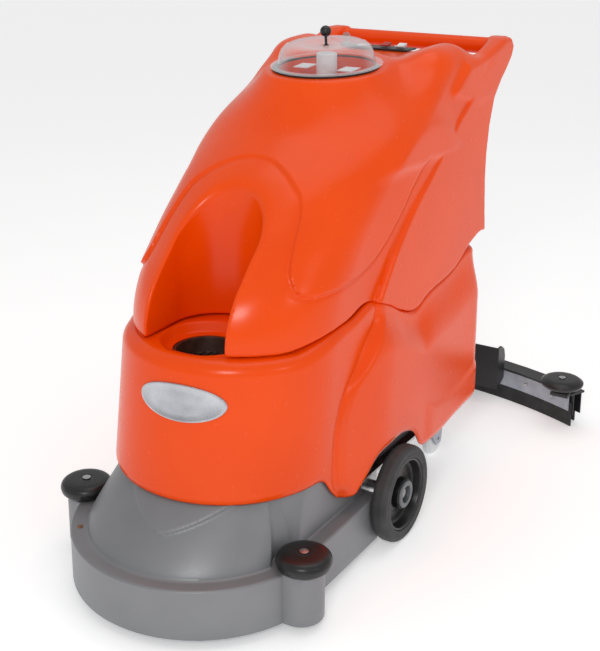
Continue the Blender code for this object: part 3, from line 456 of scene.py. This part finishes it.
def flank_panel(s, d, z):
    """The panel that stands proud on each flank, with a bevelled edge."""
    edge = inside_outline(SIDE_PANEL, d, z)
    face = PANEL_SKIN - PANEL_TAPER * (1.0 - ease((d - 0.28) / 0.35))
    panel = np.maximum(s - face, np.maximum(edge, PANEL_IN - s))
    return common(panel, (s - face + edge + BEVEL) * 0.7071, 0.0008)


def handle(s, d, z):
    """The two arms at the rear and the bar between them."""
    arm = common(np.abs(s - ARM_MIDDLE) - ARM_HALF, inside_outline(ARM, d, z), 0.014)
    bar = np.sqrt((d - BAR_BACK) ** 2 + (z - BAR_Z) ** 2) - BAR_R
    return union(arm, np.maximum(bar, s - BAR_HALF), 0.016)


def underside(s, d):
    """Height of the recovery tank's lower face."""
    parting = line(PARTING, d)
    foot = np.where(s < 0.190, np.maximum(parting, FLOOR_Z * (d > 0.2)), parting)
    foot = np.where((s > 0.150) & (d > 0.60), line(FIN_FOOT, d), foot)
    return np.where((s < 0.120) & (d < 0.200), np.minimum(foot, SCOOP_FOOT_Z), foot)


def recovery_field(x, y, z):
    s, d = np.abs(x), y - DECK_Y
    body = hood(s, d, z) + BONNET_STEP - bonnet(s, d, z)
    scoop = np.sqrt(s ** 2 + np.maximum(d - SCOOP_BACK, 0.0) ** 2) - SCOOP_R
    body = common(body, -scoop, mix(0.006, 0.015, ease((z - 0.62) / 0.10)))
    whole = union(body, flank_panel(s, d, z), 0.0015)
    whole = union(whole, handle(s, d, z), 0.022)
    whole = common(whole, s - PANEL_SKIN - 0.001, 0.003)
    whole = common(whole, (underside(s, d) - z) * 0.9, 0.004)
    well = np.maximum(from_dome(s, d) - WELL_R, WELL_LOW - z)
    return common(whole, -well, 0.002)


def recovery_tank():
    low, high = (-0.246, back(-0.092), 0.440), (0.246, back(0.912), 0.990)
    obj = skin("recovery_shell", recovery_field, low, high, FINE_STEP)
    obj.data.materials.append(MATERIALS["orange"])
    piece(obj, "recovery_tank", ["upper_tank"])


# ---------------------------------------------------------------- lower tank
LOWER_EDGE = [(0.060, 0.220), (0.105, 0.212), (0.140, 0.176), (0.175, 0.150), (0.200, 0.150),
              (0.225, 0.172), (0.255, 0.202), (0.310, 0.214), (0.370, 0.212), (0.415, 0.190),
              (0.445, 0.152), (0.500, 0.142), (0.640, 0.147), (0.760, 0.152)]
PANEL_EDGE = [(0.150, 0.178), (0.185, 0.150), (0.215, 0.140), (0.250, 0.135), (0.299, 0.132),
              (0.340, 0.142), (0.378, 0.163), (0.400, 0.187), (0.440, 0.222), (0.490, 0.262)]
LOW_CREASE = [(0.440, 0.262), (0.470, 0.240), (0.500, 0.226), (0.560, 0.216), (0.640, 0.216),
              (0.740, 0.236), (0.780, 0.250)]
CORNER_R = 0.050
LIP_FRONT, LIP_SIDE = 0.028, 0.012
PANEL_STEP, PANEL_SWELL = 0.0045, 0.0295        # how far the flank panel stands out
PLAN_Z = TANK_FOOT_Z + 0.13             # height at which the plan is drawn
REAR_LOW_Z, REAR_LOW_HALF = 0.190, 0.195        # raised middle of the rear wall's lower edge
REAR_TOP_Z, REAR_TOP_HALF = 0.485, 0.150        # lowered middle of its upper edge
FRONT_STEPS, SIDE_STEPS, CORNER_STEPS, REAR_STEPS = 90, 140, 12, 20
WALL_ROWS, LIP_ROWS = 60, 10


def lean(z):
    """The front wall leans back as it rises."""
    return mix(-0.008, 0.030, (z - TANK_FOOT_Z) / 0.260)


def lip(d):
    """Radius of the rounded top edge."""
    return mix(LIP_FRONT, LIP_SIDE, ease((d - 0.02) / 0.20))


def tank_plan(z):
    """The lower tank's +X half in plan at a height: x, distance back, outward direction."""
    out = []
    centre = TANK_BACK + lean(z)
    for i in range(FRONT_STEPS + 1):
        turn = math.pi / 2 * i / FRONT_STEPS
        out.append((TANK_R * math.sin(turn), centre - TANK_R * math.cos(turn), math.sin(turn),
                    -math.cos(turn)))
    straight_end = TANK_REAR - CORNER_R
    for i in range(1, SIDE_STEPS + 1):
        out.append((TANK_R, mix(centre, straight_end, (i / SIDE_STEPS) ** 1.25), 1.0, 0.0))
    for i in range(1, CORNER_STEPS + 1):
        turn = math.pi / 2 * i / CORNER_STEPS
        out.append((TANK_R - CORNER_R * (1 - math.cos(turn)), straight_end + CORNER_R * math.sin(turn),
                    math.cos(turn), math.sin(turn)))
    corner_x = out[-1][0]
    for i in range(1, REAR_STEPS + 1):
        out.append((corner_x * (1 - i / REAR_STEPS), TANK_REAR, 0.0, 1.0))
    return out


def stand_out(d, z, level):
    """How far the flank panel stands out of the plain tank."""
    behind = (d - line(PANEL_EDGE, z)) * 0.8
    step = PANEL_STEP * ease(behind / 0.006)
    groove = 0.0022 * math.exp(-((behind + 0.003) / 0.003) ** 2)
    swell = ease((d - 0.10) / 0.20) * (1.0 - 0.35 * ease((d - 0.35) / 0.35))
    swell *= PANEL_SWELL * (1.0 - ease((level - 0.70) / 0.30) * 0.90)
    foot = 0.0035 * ease((d - 0.45) / 0.05) * ease((line(LOW_CREASE, d) - z) / 0.012)
    return step - groove + swell * ease(behind / 0.02) + foot


def whole_plan(z):
    """The plan of both halves, from the middle of the front round by +X."""
    half = tank_plan(z)
    return half + [(-x, d, -nx, nd) for x, d, nx, nd in reversed(half[1:-1])]


def edge_heights(x, d):
    """Lower edge of the tank, and the height where its rounded top begins."""
    rear = d > TANK_REAR - 0.001
    low = REAR_LOW_Z if rear and abs(x) < REAR_LOW_HALF else float(line(LOWER_EDGE, d))
    top = REAR_TOP_Z if rear and abs(x) < REAR_TOP_HALF else float(line(PARTING, d))
    return low, top - 0.003 - lip(d)


def wall_row(ground, level):
    """One row of the wall, from its lower edge at level 0 to its rounded top at level 1."""
    row = []
    for x, d, nx, nd in ground:
        low, top = edge_heights(x, d)
        z = mix(low, top, level)
        shift = lean(z) - lean(PLAN_Z)
        shift *= 1.0 - ease((d - TANK_BACK) / (TANK_REAR - TANK_BACK - CORNER_R))
        out = stand_out(d, z, level) * abs(nx) if d > 0.0 else 0.0
        out -= 0.0035 * (1.0 - ease((z - low) / 0.010))
        row.append((x + nx * out, back(d + shift + nd * out), z))
    return row


def lip_row(top_row, ground, turn):
    """One row of the rounded top edge."""
    row = []
    for (x, y, z), (_, d, nx, nd) in zip(top_row, ground):
        inward = lip(d) * (1 - math.cos(turn))
        row.append((x - nx * inward, y - nd * inward, z + lip(d) * math.sin(turn)))
    return row


def lower_tank():
    ground = whole_plan(PLAN_Z)
    rows = [wall_row(ground, i / WALL_ROWS) for i in range(WALL_ROWS + 1)]
    top_row = rows[-1]
    rows += [lip_row(top_row, ground, math.pi / 2 * k / LIP_ROWS) for k in range(1, LIP_ROWS + 1)]
    brim = rows[-1]
    rows.append([(x - nx * 0.012, y - nd * 0.012, z - 0.002 * (d < 0.2))
                 for (x, y, z), (_, d, nx, nd) in zip(brim, ground)])
    obj = grid_mesh("lower_shell", rows, "orange")
    thicken(obj, 0.003)
    piece(obj, "chassis", ["lower_tank"])
    front = brim[-FRONT_STEPS:] + brim[:FRONT_STEPS + 1]
    piece(shelf(front), "chassis")


FILLER_BACK = 0.020
SHELF_REAR, SHELF_REAR_Z = 0.165, 0.4812        # the shelf's rear edge, hidden under the hood
SHELF_REAR_STEPS, SHELF_ROWS = 40, 12
FUNNEL = [(0.0900, 0.4792), (0.0870, 0.4782), (0.0845, 0.4755), (0.0775, 0.4640), (0.0750, 0.4615),
          (0.0715, 0.4603), (0.0665, 0.4598), (0.0645, 0.4588), (0.0640, 0.4560)]


def shelf(front):
    """The tank's top round the filler, from the rounded edge in to the stepped funnel."""
    left, right = front[0][0], front[-1][0]
    outer = [Vector(p) for p in front]
    outer += [Vector((mix(right, left, i / SHELF_REAR_STEPS), back(SHELF_REAR), SHELF_REAR_Z))
              for i in range(1, SHELF_REAR_STEPS)]
    centre = Vector((0.0, back(FILLER_BACK), 0.0))
    aims = [Vector((p.x, p.y, 0.0)) - centre for p in outer]
    rows = []
    for share in [i / SHELF_ROWS for i in range(SHELF_ROWS + 1)]:
        row = []
        for spot, aim in zip(outer, aims):
            inner = centre + aim.normalized() * FUNNEL[0][0]
            at = spot.lerp(inner, share)
            row.append((at.x, at.y, mix(spot.z, FUNNEL[0][1], float(ease(share)))))
        rows.append(row)
    for radius, z in FUNNEL[1:]:
        ring = [centre + aim.normalized() * radius for aim in aims]
        rows.append([(p.x, p.y, z) for p in ring])
    obj = grid_mesh("lower_shelf", rows, "orange")
    thicken(obj, 0.002)
    return obj


STRAINER_RIBS = 4          # on each side of the middle one


def strainer():
    middle, flange = back(FILLER_BACK), 0.4575
    profile = rounded([(0.0, 0.4275), (0.055, 0.4275), (0.0575, flange), (0.0632, flange),
                       (0.0632, flange - 0.0015), (0.0600, flange - 0.0015), (0.0578, 0.4255), (0.0, 0.4255)],
                      0.001)
    cup = turned("strainer_cup", profile, "brown_mesh", (0, middle, 0), steps=64)
    piece(cup, "chassis", ["filler_strainer"])
    for i in range(-STRAINER_RIBS, STRAINER_RIBS + 1):
        x = i * 0.0115
        half = math.sqrt(0.053 ** 2 - x ** 2)
        rib = bar_between("strainer_rib_%d" % (i + STRAINER_RIBS + 1), (x, middle - half, 0.4290),
                          (x, middle + half, 0.4290), 0.0013, "brown_mesh")
        piece(rib, "chassis")


def bar_between(name, start, end, radius, material, sides=12):
    start, end = Vector(start), Vector(end)
    along = (end - start).normalized()
    side = along.orthogonal().normalized()
    up = along.cross(side)
    rows = []
    for spot, r in ((start, 0.0), (start, radius), (end, radius), (end, 0.0)):
        rows.append([spot + side * r * math.cos(a) + up * r * math.sin(a)
                     for a in (2 * math.pi * i / sides for i in range(sides))])
    obj = grid_mesh(name, rows, material)
    weld(obj)
    return obj


BADGE_Z, BADGE_HALF_HIGH, BADGE_HALF_ARC, BADGE_TURN = 0.403, 0.034, 0.090, math.radians(7.5)
BADGE_RINGS = [(0.0, 0.0016), (0.3, 0.0016), (0.6, 0.0016), (0.86, 0.0016), (0.90, 0.0022),
               (0.95, 0.0024), (0.985, 0.0020), (1.0, 0.0008), (1.0, 0.0002)]


def badge():
    """A blank oval plate with a raised rim, bent round the tank's front."""
    rows = []
    for share, out in BADGE_RINGS:
        row = []
        for i in range(96):
            turn = 2 * math.pi * i / 96
            around = BADGE_TURN + share * BADGE_HALF_ARC * math.cos(turn) / TANK_R
            radius = TANK_R + 0.0008 + out
            z = BADGE_Z + share * BADGE_HALF_HIGH * math.sin(turn)
            y = back(TANK_BACK + lean(z) - radius * math.cos(around))
            row.append((radius * math.sin(around), y, z))
        rows.append(row)
    obj = grid_mesh("badge_plate", rows[::-1], "silver")
    weld(obj)
    piece(obj, "chassis", ["badge"])


# ---------------------------------------------------------------- brush deck
V_ANGLE = 0.17             # the shield's point is a little to the left of the middle
HOLLOW_R = 0.060           # of the hollow behind each front bumper
EAR_OUT, EAR_AHEAD, EAR_R = 0.250, 0.048, 0.043         # the skirt's ear under a front bumper
SKIRT_SIDE, SKIRT_REAR = 0.247, 0.258   # half width and rear end of the skirt behind the centre
BODY_R, BODY_SIDE, BODY_REAR = 0.223, 0.215, 0.245      # foot of the raised body
CROWN_R, CROWN_REAR = 0.2105, 0.235     # top of the raised body, under the tank
EDGE_R = 0.004             # rounding of the skirt's top edge
DECK_COLUMNS, BODY_ROWS = 480, 40


def skirt_radius(angle):
    """Distance from the deck centre to the skirt, softened where the bumper ears join it."""
    side, rear = abs(math.sin(angle)), -math.cos(angle)
    radius = DECK_R
    if rear > 0:
        radius = min(SKIRT_SIDE / max(side, 1e-6), SKIRT_REAR / rear)
    along = side * EAR_OUT - rear * EAR_AHEAD
    across = EAR_OUT * rear + EAR_AHEAD * side
    if abs(across) >= EAR_R or along <= 0:
        return radius
    ear = along + math.sqrt(EAR_R ** 2 - across ** 2)
    return float(-union(-radius, -ear, 0.010)) if ear > radius - 0.02 else radius


def foot_radius(angle):
    """Distance to the foot of the raised body."""
    side, rear = abs(math.sin(angle)), -math.cos(angle)
    if rear > -0.05:
        return min(BODY_SIDE / side, BODY_REAR / max(rear, 1e-6))
    return BODY_R


def hollow(angle, share):
    """Depth of the hollow behind each bumper, which starts at a crisp upright crease."""
    turn = abs(math.atan2(math.sin(angle), math.cos(angle))) - 0.20 * share
    side, rear = math.sin(turn), -math.cos(turn)
    along = side * FRONT_ROLLER[0] + rear * FRONT_ROLLER[1]
    across = FRONT_ROLLER[0] * rear - FRONT_ROLLER[1] * side
    if abs(across) >= HOLLOW_R or turn <= 0.0:
        return 0.0
    cut = along - math.sqrt(HOLLOW_R ** 2 - across ** 2)
    return max(BODY_R - cut, 0.0) * (1.0 - 0.65 * share)


def crown_radius(angle, radius):
    """Distance from the deck centre to the top of the raised body, which follows the tank's front."""
    side, rear = abs(math.sin(angle)), -math.cos(angle)
    toward = rear * TANK_BACK
    reach = toward + math.sqrt(toward ** 2 - TANK_BACK ** 2 + radius ** 2)
    return min(reach, radius / max(side, 1e-6), CROWN_REAR / max(rear, 1e-6))


def relief(angle, z):
    """The raised shield on the deck's front, which ends below in a V."""
    across = abs(math.atan2(math.sin(angle), math.cos(angle)) - V_ANGLE)
    over = ease((z - 0.166 - 0.055 * np.sqrt(across ** 2 + 0.004)) / 0.009)
    return 0.0085 * over * (1.0 - ease((across - 0.80) / 0.15))


def deck_rows():
    """Rows of the deck from the skirt's lower edge, over the ledge and up the raised body."""
    angles = [2 * math.pi * i / DECK_COLUMNS for i in range(DECK_COLUMNS)]
    skirt = [skirt_radius(a) for a in angles]

    def ring(radii, z):
        return [(r * math.sin(a), DECK_Y - r * math.cos(a), z) for r, a in zip(radii, angles)]

    rows = [ring([r - inset for r in skirt], SKIRT_LOW) for inset in (0.006, 0.001)]
    rows += [ring(skirt, SKIRT_LOW + 0.002 + 0.0233 * i) for i in range(5)]
    for turn in (22, 45, 68, 90):
        bend = math.radians(turn)
        inset = EDGE_R * (1 - math.cos(bend))
        rows.append(ring([r - inset for r in skirt], LEDGE_Z - EDGE_R + EDGE_R * math.sin(bend)))
    ledge_in = [foot_radius(a) - hollow(a, 0.0) + 0.003 for a in angles]
    for share in (0.25, 0.5, 0.75, 1.0):
        rows.append(ring([mix(r - EDGE_R, near, share) for r, near in zip(skirt, ledge_in)], LEDGE_Z))
    for i in range(BODY_ROWS + 1):
        share = i / BODY_ROWS
        z = mix(LEDGE_Z + 0.002, TANK_FOOT_Z - 0.0015, share)
        radii = []
        for a in angles:
            plain = mix(foot_radius(a), crown_radius(a, CROWN_R), share ** 1.25)
            radii.append(plain - hollow(a, share) + relief(a, z))
        rows.append(ring(radii, z))
    rows.append(ring([crown_radius(a, 0.1980) for a in angles], 0.2345))
    rows.append(ring([0.030] * DECK_COLUMNS, 0.2345))
    return rows


def deck_shell():
    obj = grid_mesh("deck_casting", deck_rows(), "cast")
    thicken(obj, 0.003)
    piece(obj, "chassis", ["brush_deck"])
    head = [(0.0, 0.0025), (0.0035, 0.0025), (0.0055, 0.0012), (0.0055, 0.0)]
    piece(turned("ledge_bolt", head, "rust", (-0.176, back(-0.158), LEDGE_Z), steps=24), "chassis")


# ---------------------------------------------------------------- wheels and bumpers
TYRE_WIDTH = TYRE_OUT - TYRE_IN


def wheel_ring(name, profile, radius, material, side):
    """A ring on a drive wheel's axis; its profile is (radius, height from the wheel's inner face)."""
    centre = (side * TYRE_IN, back(WHEEL_BACK), WHEEL_R)
    spin = (0, side * math.pi / 2, 0)
    return turned(name, rounded(profile, radius, closed=True), material, centre, spin, ring=True)


def drive_wheel(side, label):
    body = "wheel_" + label
    width = TYRE_WIDTH
    tyre = [(0.0748, width - 0.002), (0.0760, width - 0.0005), (0.0830, width), (0.0850, width - 0.0012),
            (0.0870, width), (0.0935, width - 0.0005), (0.0975, width - 0.0035), (WHEEL_R, width - 0.010),
            (WHEEL_R, 0.010), (0.0975, 0.0035), (0.0935, 0.0005), (0.0760, 0.0005), (0.0748, 0.002)]
    rim = [(0.0105, width - 0.0185), (0.0165, width - 0.0180), (0.0300, width - 0.0070),
           (0.0312, width - 0.0080), (0.0318, width - 0.0215), (0.0420, width - 0.0235),
           (0.0600, width - 0.0235), (0.0655, width - 0.0215), (0.0690, width - 0.0060),
           (0.0705, width - 0.0030), (0.0742, width - 0.0025), (0.0742, 0.003), (0.0105, 0.008)]
    hub = [(0.0180, width - 0.002), (0.0270, width - 0.002), (0.0285, width - 0.004),
           (0.0285, width - 0.0068), (0.0180, width - 0.0160)]
    ring = wheel_ring("tyre_ring_" + label, tyre, 0.0015, "tyre", side)
    piece(ring, body, ["tyre_" + label])
    dish = wheel_ring("rim_dish_" + label, rim, 0.0015, "black_gloss", side)
    piece(dish, body, ["rim_" + label])
    bearing = wheel_ring("hub_ring_" + label, hub, 0.0008, "hub_grey", side)
    piece(bearing, body, ["bearing_" + label])


def roller(prefix, place, side, label, half):
    """A bumper roller, half its thickness given; its rim is widest a little below the middle."""
    x, distance, z = place
    at = (side * x, back(distance), z)
    profile = [(0.0066, half - 0.0008), (0.0120, half - 0.0006), (0.0145, half), (0.0340, half - 0.0006),
               (0.0430, half - 0.0026), (0.0490, half - 0.0070), (0.0516, 0.0020), (ROLLER_R, -0.0010),
               (0.0505, -half + 0.0055), (0.0465, -half + 0.0016), (0.0400, -half), (0.0066, -half)]
    body = "%s_bumper_%s" % (prefix, label)
    wheel = turned(body, rounded(profile, 0.0025, closed=True), "black_gloss", at, ring=True)
    piece(wheel, body, ["%s_roller_%s" % (prefix, label)])


# ---------------------------------------------------------------- dome
BOWL_OUTSIDE = [(0.0034, 0.0445), (0.018, 0.0449), (0.034, 0.0468), (0.050, 0.0500), (0.064, 0.0522),
                (0.076, 0.0518), (0.086, 0.0478), (0.0935, 0.0400), (0.0980, 0.0300), (0.1005, 0.0190),
                (0.1018, 0.0100)]
BOWL_FLANGE = [(0.1035, 0.0080), (0.1160, 0.0078), (0.1170, 0.0070), (0.1170, 0.0056), (0.1160, 0.0048),
               (0.1010, 0.0048), (0.0998, 0.0060)]
BOWL_INSIDE = [(0.0985, 0.0185), (0.0960, 0.0292), (0.0917, 0.0386), (0.0848, 0.0457), (0.0755, 0.0494),
               (0.0640, 0.0498), (0.0505, 0.0476), (0.0340, 0.0444), (0.018, 0.0425), (0.0034, 0.0421)]
KNOB_R, KNOB_Z, KNOB_STEPS = 0.0115, 0.0743, 24
KNOB_STEM = [(0.0028, 0.0632), (0.0028, 0.0475), (0.0055, 0.0465), (0.0055, 0.0452), (0.0, 0.0452)]


def dome():
    centre = (0, back(DOME_BACK), DOME_Z)
    tilt = (DOME_TILT, 0, 0)
    bowl = BOWL_OUTSIDE + BOWL_FLANGE + BOWL_INSIDE
    lid = turned("dome_bowl", bowl, "clear", centre, tilt, ring=True)
    piece(lid, "lid", ["dome_lid"])
    turns = [math.pi * i / KNOB_STEPS for i in range(KNOB_STEPS - 1)]
    ball = [(KNOB_R * math.sin(turn), KNOB_Z + KNOB_R * math.cos(turn)) for turn in turns]
    knob = turned("knob_ball", ball + KNOB_STEM, "black_gloss", centre, tilt, steps=48)
    piece(knob, "lid", ["lid_knob"])
    corners = [(0.100, 0.0043), (0.114, 0.0043), (0.114, 0.0006), (0.100, 0.0006)]
    section = rounded(corners, 0.001, closed=True)
    seal = turned("dome_seal", section, "rubber", centre, tilt, ring=True)
    piece(seal, "recovery_tank", ["dome_gasket"])
    float_cage()


TAB_X, TAB_HALF_X, TAB_HALF_Y, TAB_THICK = 0.052, 0.017, 0.020, 0.0015
TAB_FRONT_Z, TAB_REAR_Z = 0.9300, 0.9330


def float_cage():
    """The cup over the float, and the two tabs that hold it under the dome."""
    at = (0, back(DOME_BACK), 0)
    cage = rounded([(0.0, 0.9620), (0.0190, 0.9620), (0.0215, 0.9590), (0.0215, 0.9125), (0.0172, 0.9125),
                    (0.0172, 0.9590), (0.0, 0.9590)], 0.0015)
    cup = turned("cage_cup", cage, "white", at, steps=48)
    piece(cup, "recovery_tank", ["float_cage"])
    for side, label in SIDES:
        left, right = side * TAB_X - TAB_HALF_X, side * TAB_X + TAB_HALF_X
        rows = []
        for along, z in ((-TAB_HALF_Y, TAB_FRONT_Z), (TAB_HALF_Y, TAB_REAR_Z)):
            y = back(DOME_BACK) + along
            rows.append([(left, y, z), (right, y, z), (right, y, z - TAB_THICK), (left, y, z - TAB_THICK)])
        tab = grid_mesh("cage_tab_" + label, rows, "white", caps=True)
        piece(tab, "recovery_tank")


# ---------------------------------------------------------------- squeegee
ARC_COLUMNS = 64


def arc_piece(name, section, half_width, material, nodes):
    """A section of (radius, height) swept along the squeegee's arc."""
    spread = math.asin(half_width / ARC_FRONT)
    rows = []
    for i in range(ARC_COLUMNS + 1):
        turn = mix(-spread, spread, i / ARC_COLUMNS)
        rows.append([(r * math.sin(turn), back(ARC_BACK) + r * math.cos(turn), z) for r, z in section])
    piece(grid_mesh(name, rows, material, caps=True), "squeegee", nodes)


def strip(radius, thickness, low, high):
    return [(radius, low), (radius + thickness, low), (radius + thickness, high), (radius, high)]


BLADE_LOW, BLADE_HIGH, STRIP_LOW = 0.0005, 0.062, 0.040
PANEL_BOLTS, PANEL_BOLT_Z = (-0.34, -0.26, -0.18, 0.18, 0.26, 0.34), 0.062
BOLT_HEAD = [(0.0, 0.0030), (0.0040, 0.0030), (0.0048, 0.0022), (0.0048, 0.0)]


def squeegee():
    strip_high = SQUEEGEE_TOP - 0.0053
    rear_wall = ARC_REAR - 0.0095
    panel = rounded(strip(ARC_FRONT, 0.0025, STRIP_LOW, strip_high), 0.0006, closed=True)
    clamp = rounded(strip(rear_wall + 0.0051, 0.0025, STRIP_LOW, strip_high), 0.0006, closed=True)
    front_lip = strip(ARC_FRONT + 0.0033, 0.0035, BLADE_LOW, BLADE_HIGH)
    rear_lip = strip(rear_wall + 0.0008, 0.0035, BLADE_LOW, BLADE_HIGH)
    arc_piece("panel_strip", panel, 0.390, "zinc", ["squeegee_panel"])
    arc_piece("front_lip", front_lip, 0.396, "rubber", ["front_blade"])
    arc_piece("rear_lip", rear_lip, 0.380, "rubber", ["rear_blade"])
    arc_piece("clamp_strip", clamp, 0.380, "steel", ["rear_clamp"])
    head = rounded(BOLT_HEAD, 0.0006)
    radius = ARC_FRONT - 0.0003
    for i, across in enumerate(PANEL_BOLTS):
        turn = math.asin(across / ARC_FRONT)
        spot = (radius * math.sin(turn), back(ARC_BACK) + radius * math.cos(turn), PANEL_BOLT_Z)
        bolt = turned("panel_bolt_%d" % (i + 1), head, "steel", spot, (math.pi / 2, 0, -turn), steps=24)
        piece(bolt, "squeegee")


# ---------------------------------------------------------------- kept CAD nodes
KEPT = {
    "brush_motor": "black_plastic", "solution_tank": "natural", "chassis_frame": "steel", "axle": "steel",
    "battery_left": "black_plastic", "battery_right": "black_plastic", "battery_link": "steel",
    "vacuum_motor": "cast", "tank_hinge_pin": "steel", "tank_hinge_lower": "steel",
    "tank_hinge_upper": "steel", "lift_pin": "steel", "brush_plate": "black_plastic",
    "bristle_ring": "bristle", "suction_inlet": "black_plastic", "drain_outlet": "black_plastic",
    "standpipe": "natural", "control_panel": "black_plastic", "key_barrel": "steel",
    "charge_gauge": "white", "float": "natural", "key": "steel", "brush_switch": "red",
    "vacuum_switch": "white", "squeegee_body": "black_plastic", "squeegee_carrier": "black_plastic",
    "lift_pedal": "black_plastic",
}


def keep_cad_nodes():
    for node, material in KEPT.items():
        paint(node, material)
    for _, label in SIDES:
        paint("caster_fork_" + label, "zinc")
        paint("caster_wheel_" + label, "white")
        paint("squeegee_knob_" + label, "black_plastic")
        for prefix in ("front", "rear"):
            paint("%s_roller_bolt_%s" % (prefix, label), "steel")


# ---------------------------------------------------------------- stage
# Name, place, target, width and power.
LAMPS = [
    ("key", (1.3, -3.2, 2.3), (0.0, -0.1, 0.5), 0.7, 32.0),
    ("side", (3.0, -0.9, 1.9), (0.1, 0.0, 0.6), 0.5, 4.0),
    ("top", (0.2, 0.3, 3.2), (0.0, 0.0, 0.4), 2.2, 16.0),
]
FLOOR_GLOW, WORLD_LIGHT = 0.34, 0.55    # the floor's own glow and the even light all round


def stage():
    bpy.ops.mesh.primitive_plane_add(size=40.0, location=(0, 0, -0.0005))
    floor = bpy.context.object
    floor.name = "floor"
    mat, _, shader = new_material("floor_paint")
    shader.inputs["Base Color"].default_value = (0.93, 0.93, 0.93, 1.0)
    shader.inputs["Roughness"].default_value = 0.8
    shader.inputs["Emission Color"].default_value = (1.0, 1.0, 1.0, 1.0)
    shader.inputs["Emission Strength"].default_value = FLOOR_GLOW
    floor.data.materials.append(mat)
    world = bpy.data.worlds.new("studio")
    bpy.context.scene.world = world
    world.use_nodes = True
    light = world.node_tree.nodes["Background"]
    light.inputs["Color"].default_value = (1.0, 1.0, 1.0, 1.0)
    light.inputs["Strength"].default_value = WORLD_LIGHT
    for settings in LAMPS:
        lamp(*settings)
    bpy.context.scene.view_settings.view_transform = "Standard"


def lamp(name, place, target, size, power):
    data = bpy.data.lights.new(name, "AREA")
    data.size = size
    data.energy = power
    obj = bpy.data.objects.new(name, data)
    bpy.context.scene.collection.objects.link(obj)
    obj.location = place
    obj.rotation_euler = (Vector(target) - Vector(place)).to_track_quat("-Z", "Y").to_euler()


CAMERA_PLACE = (1.1962, -2.0415, 1.2731)
CAMERA_YAW, CAMERA_PITCH = math.radians(32.156), math.radians(15.749)
CAMERA_LENS, SENSOR_WIDTH = 63.78, 36.0
CAMERA_SHIFT = (0.0224, -0.1608)


def camera():
    data = bpy.data.cameras.new("camera")
    data.lens = CAMERA_LENS
    data.sensor_width = SENSOR_WIDTH
    data.shift_x, data.shift_y = CAMERA_SHIFT
    obj = bpy.data.objects.new("camera", data)
    bpy.context.scene.collection.objects.link(obj)
    bpy.context.scene.camera = obj
    obj.location = CAMERA_PLACE
    obj.rotation_euler = (math.pi / 2 - CAMERA_PITCH, 0.0, CAMERA_YAW)


recovery_tank()
lower_tank()
strainer()
badge()
deck_shell()
dome()
squeegee()
for SIDE, LABEL in SIDES:
    drive_wheel(SIDE, LABEL)
    roller("front", FRONT_ROLLER, SIDE, LABEL, FRONT_ROLLER_HALF)
    roller("rear", REAR_ROLLER, SIDE, LABEL, REAR_ROLLER_HALF)
keep_cad_nodes()
stage()
camera()
